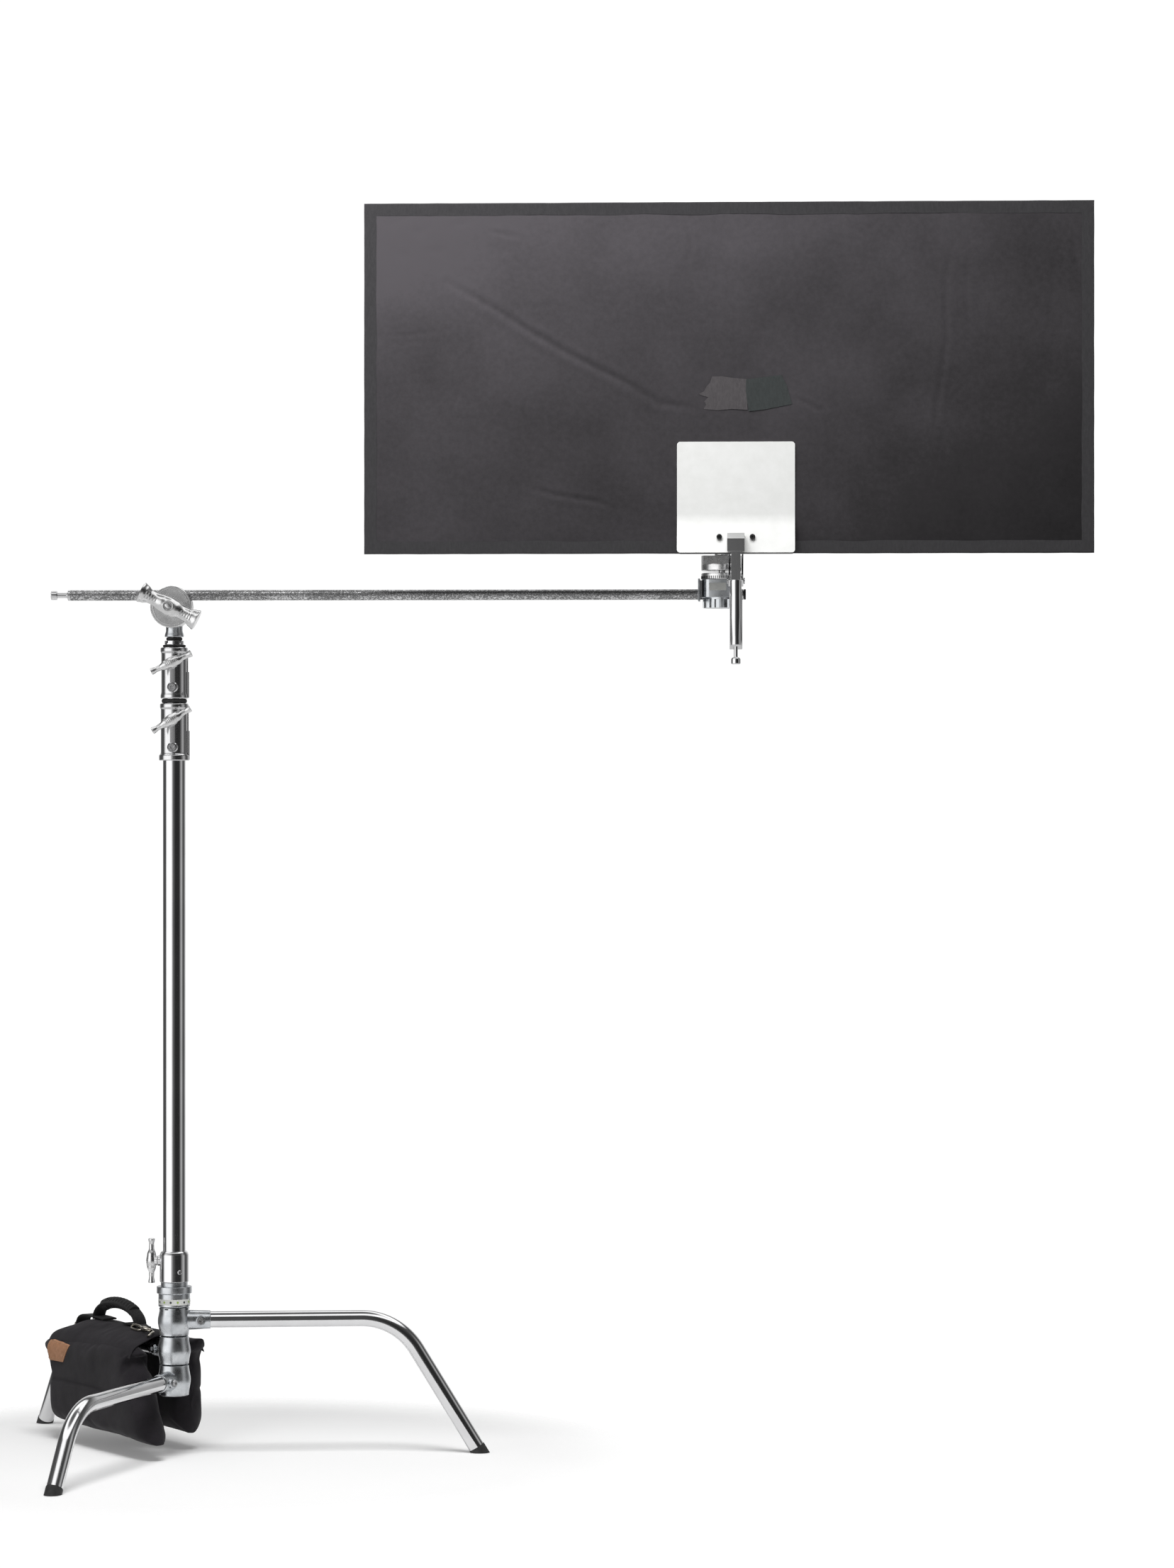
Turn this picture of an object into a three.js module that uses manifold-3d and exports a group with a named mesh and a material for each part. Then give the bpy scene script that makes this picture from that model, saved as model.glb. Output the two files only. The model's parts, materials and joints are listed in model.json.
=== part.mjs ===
// A grip stand ("C stand") with two sliding risers, a grip head and arm, a plate clamp that holds a
// board, and a sandbag over the rear leg. Millimetres, +Z up, +X along the arm, +Y to the back.
// The pieces are built round the column's axis, and the whole stand is then moved so that the origin
// is under the middle of its box.
import * as THREE from 'three';
import { mergeVertices } from 'three/addons/utils/BufferGeometryUtils.js';
import Module from 'manifold-3d';

const wasm = await Module();
wasm.setup();

// ------------------------------------------------------------------ driving dimensions
const BOX_CENTRE = { x: 565.2, y: -18 };
const GAP = 0.3;
const DEG = Math.PI / 180;

const LEG = { radius: 12.5, bore: 10.7, slope: 58.6 * DEG, knee: 343, bend: 100, start: 30, endHeight: 9 };
const HUB = { radius: 22.3, bulge: 2.9, bore: 13.3, reach: 56, rootRadius: 17.5, mouthRadius: 14, boltAt: 41 };
const HUBS = {
  bottom: { low: 93, high: 140.85, socket: 117, azimuth: -107.7 * DEG, boltSide: 1 },
  middle: { low: 141.15, high: 184.85, socket: 162, azimuth: 125.6 * DEG, boltSide: 1 },
  top: { low: 185.15, high: 229.85, socket: 209, azimuth: 6.8 * DEG, boltSide: -1 },
};
const FOOT = { radius: 13, plug: 10.4, depth: 20 };
const KING = { radius: 13, bore: 10.5, low: 94, high: 300 };
const SLEEVE = { radius: 24.3, neck: 20.7, low: 230.15, shoulder: 250, high: 267.7 };
const LOCK_RING = { radius: 27, bore: 21.1, low: 250.3, high: 261 };
const BUSH = { radius: 15.2, bore: 13.3, low: 268.5, high: 312 };
const COLLAR = { radius: 22.4, bore: 15.6, tubeBore: 17.8, low: 268, ledge: 289.7, high: 315 };
const COLUMN = { radius: 17.5, bore: 15.5, low: 290, high: 1119 };
const RISER_ONE = { radius: 15, bore: 13, low: 330, high: 1209 };
const RISER_TWO = { radius: 12.5, bore: 10.5, low: 345, high: 1246.7 };
const LOWER_CASTING = { low: 1069, high: 1157, radius: 20.8, lip: 22, flange: 23.5, flangeHeight: 9 };
const UPPER_CASTING = { low: 1164.3, high: 1243, radius: 20, lip: 21.2, flange: 21.2, flangeHeight: 6 };
const KNOB = { half: 34, fat: 8.6, waist: 4.1, end: 5.4, stand: 35, screw: 4 };
const LOWER_KNOB = { height: 1131.5, tilt: 30.8 * DEG, bolt: 1089.3 };
const UPPER_KNOB = { height: 1219, tilt: 24.6 * DEG, bolt: 1181.6 };
const COLUMN_KNOB = { height: 300, tilt: 0 };
const PIN = { radius: 8, low: 1205, high: 1296 };

const HEAD = { z: 1304, disc: 32, boltRadius: 5, arm: 18 };
const ARM = { radius: 8, bore: 6, y: -27, z: HEAD.z + HEAD.arm, left: -160, right: 875, stud: -186 };
const HANDLE = { half: 48, middle: 13.6, waist: 10.2, end: 16, flat: 0.86, tilt: -27 * DEG };

const END = { x: 842, disc: 31.5, boltRadius: 5, jawRim: 1367.7, jawTop: 1380.7, flat: -16 };
const CLAMP = { x: 864, z: 1356, reach: 22 };
const BOARD = { left: 301, right: 1403, low: 1381, high: 1912, thick: 12, y: -92 };
const PLATE = { width: 178, low: 1381.5, bend: 1432, high: 1549.5, thick: 2, lean: 0.287, corner: 5 };
const PLATE_SCREW = { apart: 25, z: 1405.5 };

const BAG = { inner: 26, outer: 72, saddleLow: 174.9, saddleHigh: 186 };

// ------------------------------------------------------------------ finishes
const finish = (color, roughness, metalness) => ({ color, roughness, metalness });
const CHROME = finish(0xd4d6d8, 0.12, 1);
const CAST = finish(0xb9bdbf, 0.38, 1);
const WORN_CHROME = finish(0x9a9c9e, 0.3, 1);
const DARK_STEEL = finish(0x3a3a3c, 0.4, 1);
const RUBBER = finish(0x141414, 0.85, 0);
const WHITE_PAINT = finish(0xdedfdd, 0.5, 0);
const BOARD_BLACK = finish(0x3c3a3d, 0.9, 0);
const CANVAS = finish(0x232226, 0.95, 0);

// ------------------------------------------------------------------ solids from three.js geometry
function weld(geometry) {
  const bare = geometry.clone();
  bare.deleteAttribute('normal');
  bare.deleteAttribute('uv');
  const merged = mergeVertices(bare, 1e-4);
  const corners = merged.index.array;
  const kept = [];
  for (let i = 0; i < corners.length; i += 3) {
    const [a, b, c] = corners.slice(i, i + 3);
    if (a !== b && b !== c && c !== a) {
      kept.push(a, b, c);
    }
  }
  merged.setIndex(kept);
  return merged;
}

function solid(geometry) {
  const welded = weld(geometry);
  return new wasm.Manifold(new wasm.Mesh({
    numProp: 3,
    vertProperties: new Float32Array(welded.attributes.position.array),
    triVerts: new Uint32Array(welded.index.array),
  }));
}

function geometryOf(manifold) {
  const mesh = manifold.getMesh();
  const geometry = new THREE.BufferGeometry();
  geometry.setAttribute('position', new THREE.BufferAttribute(new Float32Array(mesh.vertProperties), 3));
  geometry.setIndex(new THREE.BufferAttribute(new Uint32Array(mesh.triVerts), 1));
  return geometry;
}

function join(...pieces) {
  return geometryOf(pieces.map(solid).reduce((sum, piece) => sum.add(piece)));
}

function cut(base, ...tools) {
  return geometryOf(tools.map(solid).reduce((rest, tool) => rest.subtract(tool), solid(base)));
}

function common(base, other) {
  return geometryOf(solid(base).intersect(solid(other)));
}

// A turned solid about Z. A profile of [radius, z] points runs up the outside from axis to axis.
function turned(profile, sides = 20) {
  const points = profile.map(([radius, z]) => new THREE.Vector2(radius, z));
  return weld(new THREE.LatheGeometry(points, sides).rotateX(Math.PI / 2));
}

function bar(radius, low, high, sides = 20) {
  return turned([[0, low], [radius, low], [radius, high], [0, high]], sides);
}

// A tube about Z, open right through.
function pipe(radius, bore, low, high, sides = 24) {
  return turned([[bore, low], [radius, low], [radius, high], [bore, high], [bore, low]], sides);
}

// A round bar between two points.
function rod(radius, from, to, sides = 16) {
  const start = new THREE.Vector3(...from);
  const way = new THREE.Vector3(...to).sub(start);
  const turn = new THREE.Quaternion().setFromUnitVectors(new THREE.Vector3(0, 0, 1), way.clone().normalize());
  return bar(radius, 0, way.length(), sides).applyQuaternion(turn).translate(start.x, start.y, start.z);
}

function block(low, high) {
  const size = high.map((value, i) => value - low[i]);
  const middle = high.map((value, i) => (value + low[i]) / 2);
  return new THREE.BoxGeometry(...size).translate(...middle);
}

// A flat outline of [x, y] points raised along Z.
function raised(outline, low, high) {
  const shape = new THREE.Shape(outline.map(([x, y]) => new THREE.Vector2(x, y)));
  return new THREE.ExtrudeGeometry(shape, { depth: high - low, bevelEnabled: false }).translate(0, 0, low);
}

// A side outline of [y, z] points raised along X.
function raisedAlongX(outline, low, high) {
  return raised(outline, low, high).applyMatrix4(new THREE.Matrix4().set(
    0, 0, 1, 0,
    1, 0, 0, 0,
    0, 1, 0, 0,
    0, 0, 0, 1,
  ));
}

// A front outline of [x, z] points raised along Y.
function raisedAlongY(outline, low, high) {
  return raised(outline, -high, -low).rotateX(Math.PI / 2);
}

// A route whose points and directions are given at uneven stations.
class Route extends THREE.Curve {
  constructor(stations) {
    super();
    this.stations = stations;
  }

  between(t, key) {
    const place = t * (this.stations.length - 1);
    const index = Math.min(Math.floor(place), this.stations.length - 2);
    const [from, to] = [this.stations[index][key], this.stations[index + 1][key]];
    return from.clone().lerp(to, place - index);
  }

  getPoint(t, target = new THREE.Vector3()) {
    return target.copy(this.between(t, 'point'));
  }

  getTangent(t, target = new THREE.Vector3()) {
    return target.copy(this.between(t, 'way')).normalize();
  }

  getUtoTmapping(u) {
    return u;
  }
}

function ring(radius, sides) {
  return Array.from({ length: sides }, (_, i) => {
    const angle = (i / sides) * 2 * Math.PI;
    return new THREE.Vector2(radius * Math.cos(angle), radius * Math.sin(angle));
  });
}

function swept(stations, radius, bore, sides) {
  const shape = new THREE.Shape(ring(radius, sides));
  if (bore > 0) {
    shape.holes.push(new THREE.Path(ring(bore, sides)));
  }
  const options = { steps: stations.length - 1, extrudePath: new Route(stations), bevelEnabled: false };
  return weld(new THREE.ExtrudeGeometry(shape, options));
}

// Turns a piece made about +Z so that its axis points to the front (-Y) or to the left (-X).
const toFront = (geometry) => geometry.rotateX(Math.PI / 2);
const toLeft = (geometry) => geometry.rotateY(-Math.PI / 2);

// ------------------------------------------------------------------ scene graph
const stand = new THREE.Group();
stand.position.set(-BOX_CENTRE.x, -BOX_CENTRE.y, 0);

function place(name, geometry, look, group = stand) {
  const material = new THREE.MeshStandardMaterial({
    color: look.color, roughness: look.roughness, metalness: look.metalness,
  });
  const mesh = new THREE.Mesh(geometry, material);
  mesh.name = name;
  group.add(mesh);
}

// ------------------------------------------------------------------ base: hubs, legs and feet
function hubGeometry(hub) {
  const waves = 5;
  const profile = [[0, hub.low]];
  for (let i = 0; i <= waves; i += 1) {
    const along = i / waves;
    const swell = HUB.bulge * Math.sin(Math.PI * along) ** 2;
    profile.push([HUB.radius + swell, hub.low + along * (hub.high - hub.low)]);
  }
  profile.push([0, hub.high]);
  const socket = turned([[0, 0], [HUB.rootRadius, 0], [HUB.mouthRadius, HUB.reach], [0, HUB.reach]], 16)
    .rotateY(Math.PI / 2).translate(0, 0, hub.socket);
  const boss = rod(7.5, [HUB.boltAt, 0, hub.socket], [HUB.boltAt, 18 * hub.boltSide, hub.socket], 10);
  const body = join(turned(profile, 20), socket, boss);
  const legBore = rod(LEG.radius + GAP, [28, 0, hub.socket], [60, 0, hub.socket], 12);
  const boltBore = rod(3.3, [HUB.boltAt, 0, hub.socket], [HUB.boltAt, 20 * hub.boltSide, hub.socket], 8);
  return cut(body, bar(HUB.bore, hub.low - 1, hub.high + 1, 20), legBore, boltBore);
}

function legStations(height) {
  const bendSteps = 6;
  const reach = LEG.bend * Math.tan(LEG.slope / 2);
  const stations = [{ point: new THREE.Vector3(LEG.start, 0, height), way: new THREE.Vector3(1, 0, 0) }];
  for (let i = 0; i <= bendSteps; i += 1) {
    const angle = (i / bendSteps) * LEG.slope;
    const x = LEG.knee - reach + LEG.bend * Math.sin(angle);
    const z = height - LEG.bend * (1 - Math.cos(angle));
    stations.push({
      point: new THREE.Vector3(x, 0, z),
      way: new THREE.Vector3(Math.cos(angle), 0, -Math.sin(angle)),
    });
  }
  stations.push(slopePoint(height, LEG.endHeight));
  return stations;
}

// The point on a leg's sloping stretch at height z.
function slopePoint(height, z) {
  const x = LEG.knee + (height - z) / Math.tan(LEG.slope);
  return {
    point: new THREE.Vector3(x, 0, z),
    way: new THREE.Vector3(Math.cos(LEG.slope), 0, -Math.sin(LEG.slope)),
  };
}

function footGeometry(height) {
  const { point, way } = slopePoint(height, LEG.endHeight);
  const along = (distance) => point.clone().addScaledVector(way, distance).toArray();
  const cap = rod(FOOT.radius, along(GAP), along(30), 16);
  const plug = rod(FOOT.plug, along(-FOOT.depth), along(3), 12);
  const ground = block([point.x - 80, -40, -60], [point.x + 80, 40, 0]);
  return cut(join(cap, plug), ground);
}

function legBoltGeometry(hub) {
  const side = hub.boltSide;
  const at = (y) => [HUB.boltAt, y * side, hub.socket];
  const shank = rod(3, at(13.2), at(19), 10);
  const head = rod(5.6, at(18 + GAP), at(22), 6);
  const key = rod(2.3, at(20), at(23), 6);
  return cut(join(shank, head), key);
}

const LEG_NAMES = { bottom: 'front', middle: 'rear', top: 'right' };
for (const [level, hub] of Object.entries(HUBS)) {
  const arm = new THREE.Group();
  arm.rotation.z = hub.azimuth;
  stand.add(arm);
  const leg = LEG_NAMES[level];
  place(`${level}_hub`, hubGeometry(hub), CAST, arm);
  place(`${leg}_leg`, swept(legStations(hub.socket), LEG.radius, LEG.bore, 12), CHROME, arm);
  place(`${leg}_foot`, footGeometry(hub.socket), RUBBER, arm);
  place(`${leg}_leg_bolt`, legBoltGeometry(hub), CHROME, arm);
}

place('king_tube', pipe(KING.radius, KING.bore, KING.low, KING.high), CHROME);

function sleeveGeometry() {
  const { radius, neck, low, shoulder, high } = SLEEVE;
  return turned([
    [HUB.bore, low], [radius - 1.5, low], [radius, low + 1.5], [radius, shoulder - 1], [radius - 1, shoulder],
    [neck, shoulder], [neck, high], [HUB.bore, high], [HUB.bore, low],
  ]);
}
place('base_sleeve', sleeveGeometry(), CAST);

function lockRingGeometry() {
  const { radius, bore, low, high } = LOCK_RING;
  return turned([
    [bore, low], [radius - 1, low], [radius, low + 1], [radius, high - 1], [radius - 1, high],
    [bore, high], [bore, low],
  ], 24);
}
place('lock_ring', lockRingGeometry(), CAST);

// ------------------------------------------------------------------ column and risers
place('column_bush', pipe(BUSH.radius, BUSH.bore, BUSH.low, BUSH.high), CAST);

function collarGeometry() {
  const { radius, bore, tubeBore, low, ledge, high } = COLLAR;
  const body = turned([
    [bore, low], [radius - 1, low], [radius, low + 1], [radius, high - 5], [radius - 1.6, high - 1.6],
    [radius - 4, high], [tubeBore, high], [tubeBore, ledge], [bore, ledge], [bore, low],
  ]);
  const boss = rod(8, [-19, 0, COLUMN_KNOB.height], [-25, 0, COLUMN_KNOB.height], 12);
  return cut(join(body, cut(boss, bar(19, low, high))),
    rod(KNOB.screw + GAP, [-17, 0, COLUMN_KNOB.height], [-30, 0, COLUMN_KNOB.height], 12));
}
place('column_collar', collarGeometry(), CHROME);
place('column_tube', columnTubeGeometry(), CHROME);

function columnTubeGeometry() {
  const tube = pipe(COLUMN.radius, COLUMN.bore, COLUMN.low, COLUMN.high, 24);
  const screwHole = rod(KNOB.screw + GAP, [-14, 0, COLUMN_KNOB.height], [-20, 0, COLUMN_KNOB.height], 12);
  return cut(tube, screwHole);
}

// A riser clamp: a socket for the tube below, a running bore for the riser above, a front rib
// between the knob's boss and the clamp bolt's boss, and a raised seam on the right.
function castingGeometry(casting, below, riser, knob) {
  const { low, high, radius, lip, flange, flangeHeight } = casting;
  const socketTop = below.high + GAP;
  const body = turned([
    [below.radius + GAP, low], [flange - 1, low], [flange, low + 1], [flange, low + flangeHeight],
    [radius, low + flangeHeight + 2], [radius, high - 8], [lip, high - 6], [lip, high - 1], [lip - 1, high],
    [riser.radius + GAP, high], [riser.radius + GAP, socketTop], [below.radius + GAP, socketTop],
    [below.radius + GAP, low],
  ], 24);
  const knobBoss = rod(8.5, [0, -15, knob.height], [0, -25, knob.height], 12);
  const boltBoss = rod(8.5, [0, -15, knob.bolt], [0, -24, knob.bolt], 12);
  const rib = block([-4, -23, knob.bolt], [4, -15, knob.height]);
  const seam = block([15, -3, low + 1], [radius + 3, 3, low + (high - low) * 0.52]);
  const wholeBore = bar(riser.radius + GAP, low - 1, high + 1, 24);
  const socketBore = bar(below.radius + GAP, low - 1, socketTop, 24);
  const screwBore = rod(KNOB.screw + GAP, [0, 0, knob.height], [0, -30, knob.height], 12);
  const boltBore = rod(3.3, [0, 0, knob.bolt], [0, -30, knob.bolt], 10);
  return cut(join(body, knobBoss, boltBoss, rib, seam), wholeBore, socketBore, screwBore, boltBore);
}

function clampBoltGeometry(tubeRadius, height) {
  const shank = rod(3, [0, -(tubeRadius + GAP + 0.2), height], [0, -25, height], 10);
  const head = rod(5.6, [0, -24 - GAP, height], [0, -28, height], 12);
  const key = rod(2.6, [0, -26, height], [0, -29, height], 6);
  return cut(join(shank, head), key);
}

// A T knob about its own screw: the bar lies along X, `stand` above the tube's axis.
function knobGeometry(tubeRadius, tilt) {
  const { half, fat, waist, end, stand: height, screw } = KNOB;
  const spindle = turned([
    [0, -half], [end, -half], [waist, -half + 7], [waist, -half + 15], [fat - 1.6, -9], [fat, 0],
    [fat - 1.6, 9], [waist, half - 15], [waist, half - 7], [end, half], [0, half],
  ], 10).rotateY(Math.PI / 2).rotateZ(tilt).translate(0, 0, height);
  const hubPart = turned([[0, 25.4], [7.6, 25.4], [6.4, height], [0, height]], 12);
  return join(spindle, hubPart, bar(screw, tubeRadius + GAP, height, 12));
}

place('lower_casting', castingGeometry(LOWER_CASTING, COLUMN, RISER_ONE, LOWER_KNOB), CAST);
place('lower_clamp_bolt', clampBoltGeometry(COLUMN.radius, LOWER_KNOB.bolt), CHROME);
place('first_riser_tube', pipe(RISER_ONE.radius, RISER_ONE.bore, RISER_ONE.low, RISER_ONE.high, 24), CHROME);
place('upper_casting', castingGeometry(UPPER_CASTING, RISER_ONE, RISER_TWO, UPPER_KNOB), CAST);
place('upper_clamp_bolt', clampBoltGeometry(RISER_ONE.radius, UPPER_KNOB.bolt), CHROME);
place('bumper_ring', ringGeometry(19.5, RISER_ONE.radius + GAP, 1157.3, 1164), RUBBER);

place('lower_riser_knob',
  toFront(knobGeometry(RISER_ONE.radius, LOWER_KNOB.tilt)).translate(0, 0, LOWER_KNOB.height), CAST);
place('upper_riser_knob',
  toFront(knobGeometry(RISER_TWO.radius, UPPER_KNOB.tilt)).translate(0, 0, UPPER_KNOB.height), CAST);
place('column_knob',
  toLeft(knobGeometry(BUSH.radius, COLUMN_KNOB.tilt)).translate(0, 0, COLUMN_KNOB.height), CAST);

function ringGeometry(radius, bore, low, high) {
  const thick = high - low;
  return turned([
    [bore, low + 0.5], [radius - 1.5, low], [radius, low + thick / 2], [radius - 1.5, high],
    [bore, high - 0.5], [bore, low + 0.5],
  ], 16);
}

place('second_riser_tube', pipe(RISER_TWO.radius, RISER_TWO.bore, RISER_TWO.low, RISER_TWO.high, 24), CHROME);
place('lower_top_ring', ringGeometry(17.8, RISER_TWO.radius + GAP, 1243.3, 1247), RUBBER);
place('upper_top_ring', ringGeometry(12.4, PIN.radius + GAP, 1253.3, 1258.7), RUBBER);

function pinGeometry() {
  return turned([
    [0, PIN.low], [RISER_TWO.bore - GAP, PIN.low], [RISER_TWO.bore - GAP, 1246], [PIN.radius, 1246],
    [PIN.radius, PIN.high - 1], [PIN.radius - 1, PIN.high], [0, PIN.high],
  ], 20);
}
place('top_pin', pinGeometry(), CHROME);

function bushGeometry() {
  const notches = 4;
  const body = pipe(15, PIN.radius + GAP, 1247.3, 1253, 20);
  const tools = Array.from({ length: notches }, (_, i) => {
    const angle = ((i + 0.5) / notches) * 2 * Math.PI;
    return block([9.5, -3, 1249.8], [18, 3, 1255]).rotateZ(angle);
  });
  return cut(body, ...tools);
}
place('castellated_bush', bushGeometry(), CHROME);

// ------------------------------------------------------------------ grip heads
// Every head is made with its bolt on +Z and its middle at the origin, and then turned into place.
function jawGeometry(radius, low, high, grooveAt, grooveRadius, boltRadius, grooveHeight, alongX) {
  const disc = turned([
    [boltRadius + GAP, low], [radius - 1, low], [radius, low + 1], [radius, high - 1], [radius - 1, high],
    [boltRadius + GAP, high], [boltRadius + GAP, low],
  ], 28);
  const half = radius + 5;
  const groove = alongX
    ? rod(grooveRadius, [-half, grooveAt, grooveHeight], [half, grooveAt, grooveHeight], 16)
    : rod(grooveRadius, [grooveAt, -half, grooveHeight], [grooveAt, half, grooveHeight], 12);
  return cut(disc, groove);
}

// A large T handle: the bar lies along X, `height` above the boss's foot, with the bolt's recess on top.
function handleGeometry(footZ, height, boltRadius, tilt) {
  const { half, middle, waist, end, flat } = HANDLE;
  const barPart = turned([
    [0, -half], [end, -half], [end - 3, -half + 5], [waist + 0.8, -half + 16], [waist, -25], [middle - 1, -10],
    [middle, 0], [middle - 1, 10], [waist, 25], [waist + 0.8, half - 16], [end - 3, half - 5], [end, half],
    [0, half],
  ], 14).rotateY(Math.PI / 2).scale(1, 1, flat).rotateZ(tilt).translate(0, 0, footZ + height);
  const boss = turned([[0, footZ], [11, footZ], [11.5, footZ + height], [0, footZ + height]], 14);
  const recess = bar(7.4, footZ + height + 6, footZ + height + 20, 14);
  const bore = bar(boltRadius + GAP, footZ - 1, footZ + height + 20, 12);
  return cut(join(barPart, boss), recess, bore);
}

function headBodyGeometry() {
  const cup = turned([
    [0, 1259], [14.2, 1259], [14.9, 1260], [14.6, 1262.5], [12.9, 1268], [12.9, 1284], [0, 1284],
  ], 20);
  const barrel = toFront(turned([
    [0, -14], [13, -14], [17, -11], [17, 7], [22, 11], [22, 14], [0, 14],
  ], 20)).translate(0, 0, HEAD.z);
  const back = block([-12.5, -10, 1276], [12.5, 11, 1300]);
  const receiver = bar(PIN.radius + GAP, 1250, PIN.high + GAP, 16);
  const boltBore = toFront(bar(HEAD.boltRadius + GAP, -30, 30, 16)).translate(0, 0, HEAD.z);
  return cut(join(cup, barrel, back), cut(receiver, block([-20, -20, 1296.5], [20, 20, 1310])), boltBore);
}

function headBoltGeometry() {
  const shank = bar(HEAD.boltRadius, -16, 66, 12);
  const nut = rod(9, [0, 0, -21], [0, 0, -14.3], 6);
  return toFront(join(shank, nut)).translate(0, 0, HEAD.z);
}

const grooveZ = -ARM.y;
function headJaw(low, high) {
  return toFront(jawGeometry(HEAD.disc, low, high, HEAD.arm, ARM.radius + GAP, HEAD.boltRadius, grooveZ, true))
    .translate(0, 0, HEAD.z);
}

place('head_body', headBodyGeometry(), CAST);
place('head_bolt', headBoltGeometry(), CHROME);
place('head_inner_jaw', headJaw(14.3, 25), CAST);
place('head_outer_jaw', headJaw(29, 40), CAST);
place('head_t_handle',
  toFront(handleGeometry(40.3, 24, HEAD.boltRadius, HANDLE.tilt)).translate(0, 0, HEAD.z), CAST);

// ------------------------------------------------------------------ grip arm
function armTubeGeometry() {
  return pipe(ARM.radius, ARM.bore, ARM.left, ARM.right, 16).rotateY(Math.PI / 2).translate(0, ARM.y, ARM.z);
}

function armStudGeometry() {
  const { stud, left, bore } = ARM;
  return turned([
    [0, stud], [5.8, stud], [6.85, stud + 1], [6.85, stud + 9], [4, stud + 9.5], [4, left - GAP],
    [bore - GAP, left - GAP], [bore - GAP, left + 30], [0, left + 30],
  ], 14).rotateY(Math.PI / 2).translate(0, ARM.y, ARM.z);
}

function armCapGeometry() {
  return turned([
    [0, ARM.right - 10], [ARM.bore - GAP, ARM.right - 10], [ARM.bore - GAP, ARM.right + GAP],
    [ARM.radius, ARM.right + GAP], [ARM.radius, ARM.right + 2.5], [ARM.radius - 1, ARM.right + 3.5],
    [0, ARM.right + 3.5],
  ], 14).rotateY(Math.PI / 2).translate(0, ARM.y, ARM.z);
}

place('arm_tube', armTubeGeometry(), WORN_CHROME);
place('arm_stud', armStudGeometry(), CHROME);
place('arm_end_cap', armCapGeometry(), RUBBER);

// ------------------------------------------------------------------ head at the arm's end
function endBodyGeometry() {
  const flutes = 12;
  const drum = bar(29, 1301, 1319, 24);
  const fluteTools = Array.from({ length: flutes }, (_, i) => {
    const angle = ((i + 0.5) / flutes) * 2 * Math.PI;
    const at = [33 * Math.cos(angle), 33 * Math.sin(angle)];
    return rod(6.5, [...at, 1299], [...at, 1314], 8);
  });
  const upper = common(block([-30, -30, 1317], [30, 30, 1344]), bar(36, 1310, 1350, 16));
  const lip = block([-36, -31, 1311], [-33, 10, 1345]);
  const web = block([-34, -14, 1316], [-26, 14, 1343]);
  const body = join(cut(drum, ...fluteTools), upper, lip, web).translate(END.x, ARM.y, 0);
  const armBore = rod(ARM.radius + GAP, [END.x - 60, ARM.y, ARM.z], [END.x + 60, ARM.y, ARM.z], 16);
  const boltBore = bar(END.boltRadius + GAP, 1332.5, 1350, 16).translate(END.x, ARM.y, 0);
  return cut(body, armBore, boltBore);
}

function endJaw(low, high) {
  const height = CLAMP.z;
  return jawGeometry(END.disc, low, high, CLAMP.reach, PIN.radius + GAP, END.boltRadius, height, false)
    .translate(END.x, ARM.y, 0);
}

// The upper jaw is deep, and flat on the side where the clamp's rear jaw swings towards it.
function endUpperJaw() {
  const crown = common(
    bar(END.disc, END.jawRim - 1, END.jawTop, 24), block([-40, END.flat, END.jawRim - 1], [40, 40, END.jawTop]));
  const boltBore = bar(END.boltRadius + GAP, END.jawRim - 2, END.jawTop + 1, 16);
  return join(endJaw(1357.7, END.jawRim), cut(crown, boltBore).translate(END.x, ARM.y, 0));
}

place('end_head_body', endBodyGeometry(), CAST);
place('end_head_bolt', bar(END.boltRadius, 1333, END.jawTop + 31, 16).translate(END.x, ARM.y, 0), CHROME);
place('end_lower_jaw', endJaw(1344.3, 1354.3), CAST);
place('end_upper_jaw', endUpperJaw(), CAST);
place('end_t_handle', handleGeometry(END.jawTop + GAP, 23, END.boltRadius, 0).translate(END.x, ARM.y, 0), CAST);

// ------------------------------------------------------------------ plate clamp
const FACE = BOARD.thick / 2 + GAP;
const CLAMP_PIVOT = { y: -106, z: 1339 };
const LEVER_PIVOT = { y: -103, z: 1318 };
const HANDLE_Y = -121;
const CHEEK = { inner: 8.6, outer: 11.1 };

// The distance of a plate's outer face from the board's middle plane at height z.
function plateFace(z) {
  return FACE + PLATE.thick + Math.max(0, PLATE.bend - z) * PLATE.lean;
}

function plateGeometry(side) {
  const { low, bend, high, thick, width, corner } = PLATE;
  const inner = (z) => plateFace(z) - thick;
  const outline = [
    [plateFace(low), low], [inner(low), low], [inner(bend), bend], [inner(high), high],
    [plateFace(high), high], [plateFace(bend), bend],
  ].map(([out, z]) => [BOARD.y + side * out, z]);
  const sheet = raisedAlongX(side > 0 ? outline.reverse() : outline, -width / 2, width / 2);
  const half = width / 2;
  const arcs = [[half, high, 0], [-half, high, 90], [-half, low, 180], [half, low, 270]];
  const rounded = arcs.flatMap(([x, z, from]) => Array.from({ length: 5 }, (_, i) => {
    const angle = (from + i * 22.5) * DEG;
    const centre = [x - Math.sign(x) * corner, z - (z === high ? corner : -corner)];
    return [centre[0] + corner * Math.cos(angle), centre[1] + corner * Math.sin(angle)];
  }));
  const window = raisedAlongY(rounded, BOARD.y - 60, BOARD.y + 60);
  const holes = [-1, 1].map((way) => rod(2.6,
    [way * PLATE_SCREW.apart, BOARD.y, PLATE_SCREW.z],
    [way * PLATE_SCREW.apart, BOARD.y + side * 60, PLATE_SCREW.z], 10));
  return cut(common(sheet, window), ...holes).translate(CLAMP.x, 0, 0);
}

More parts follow.
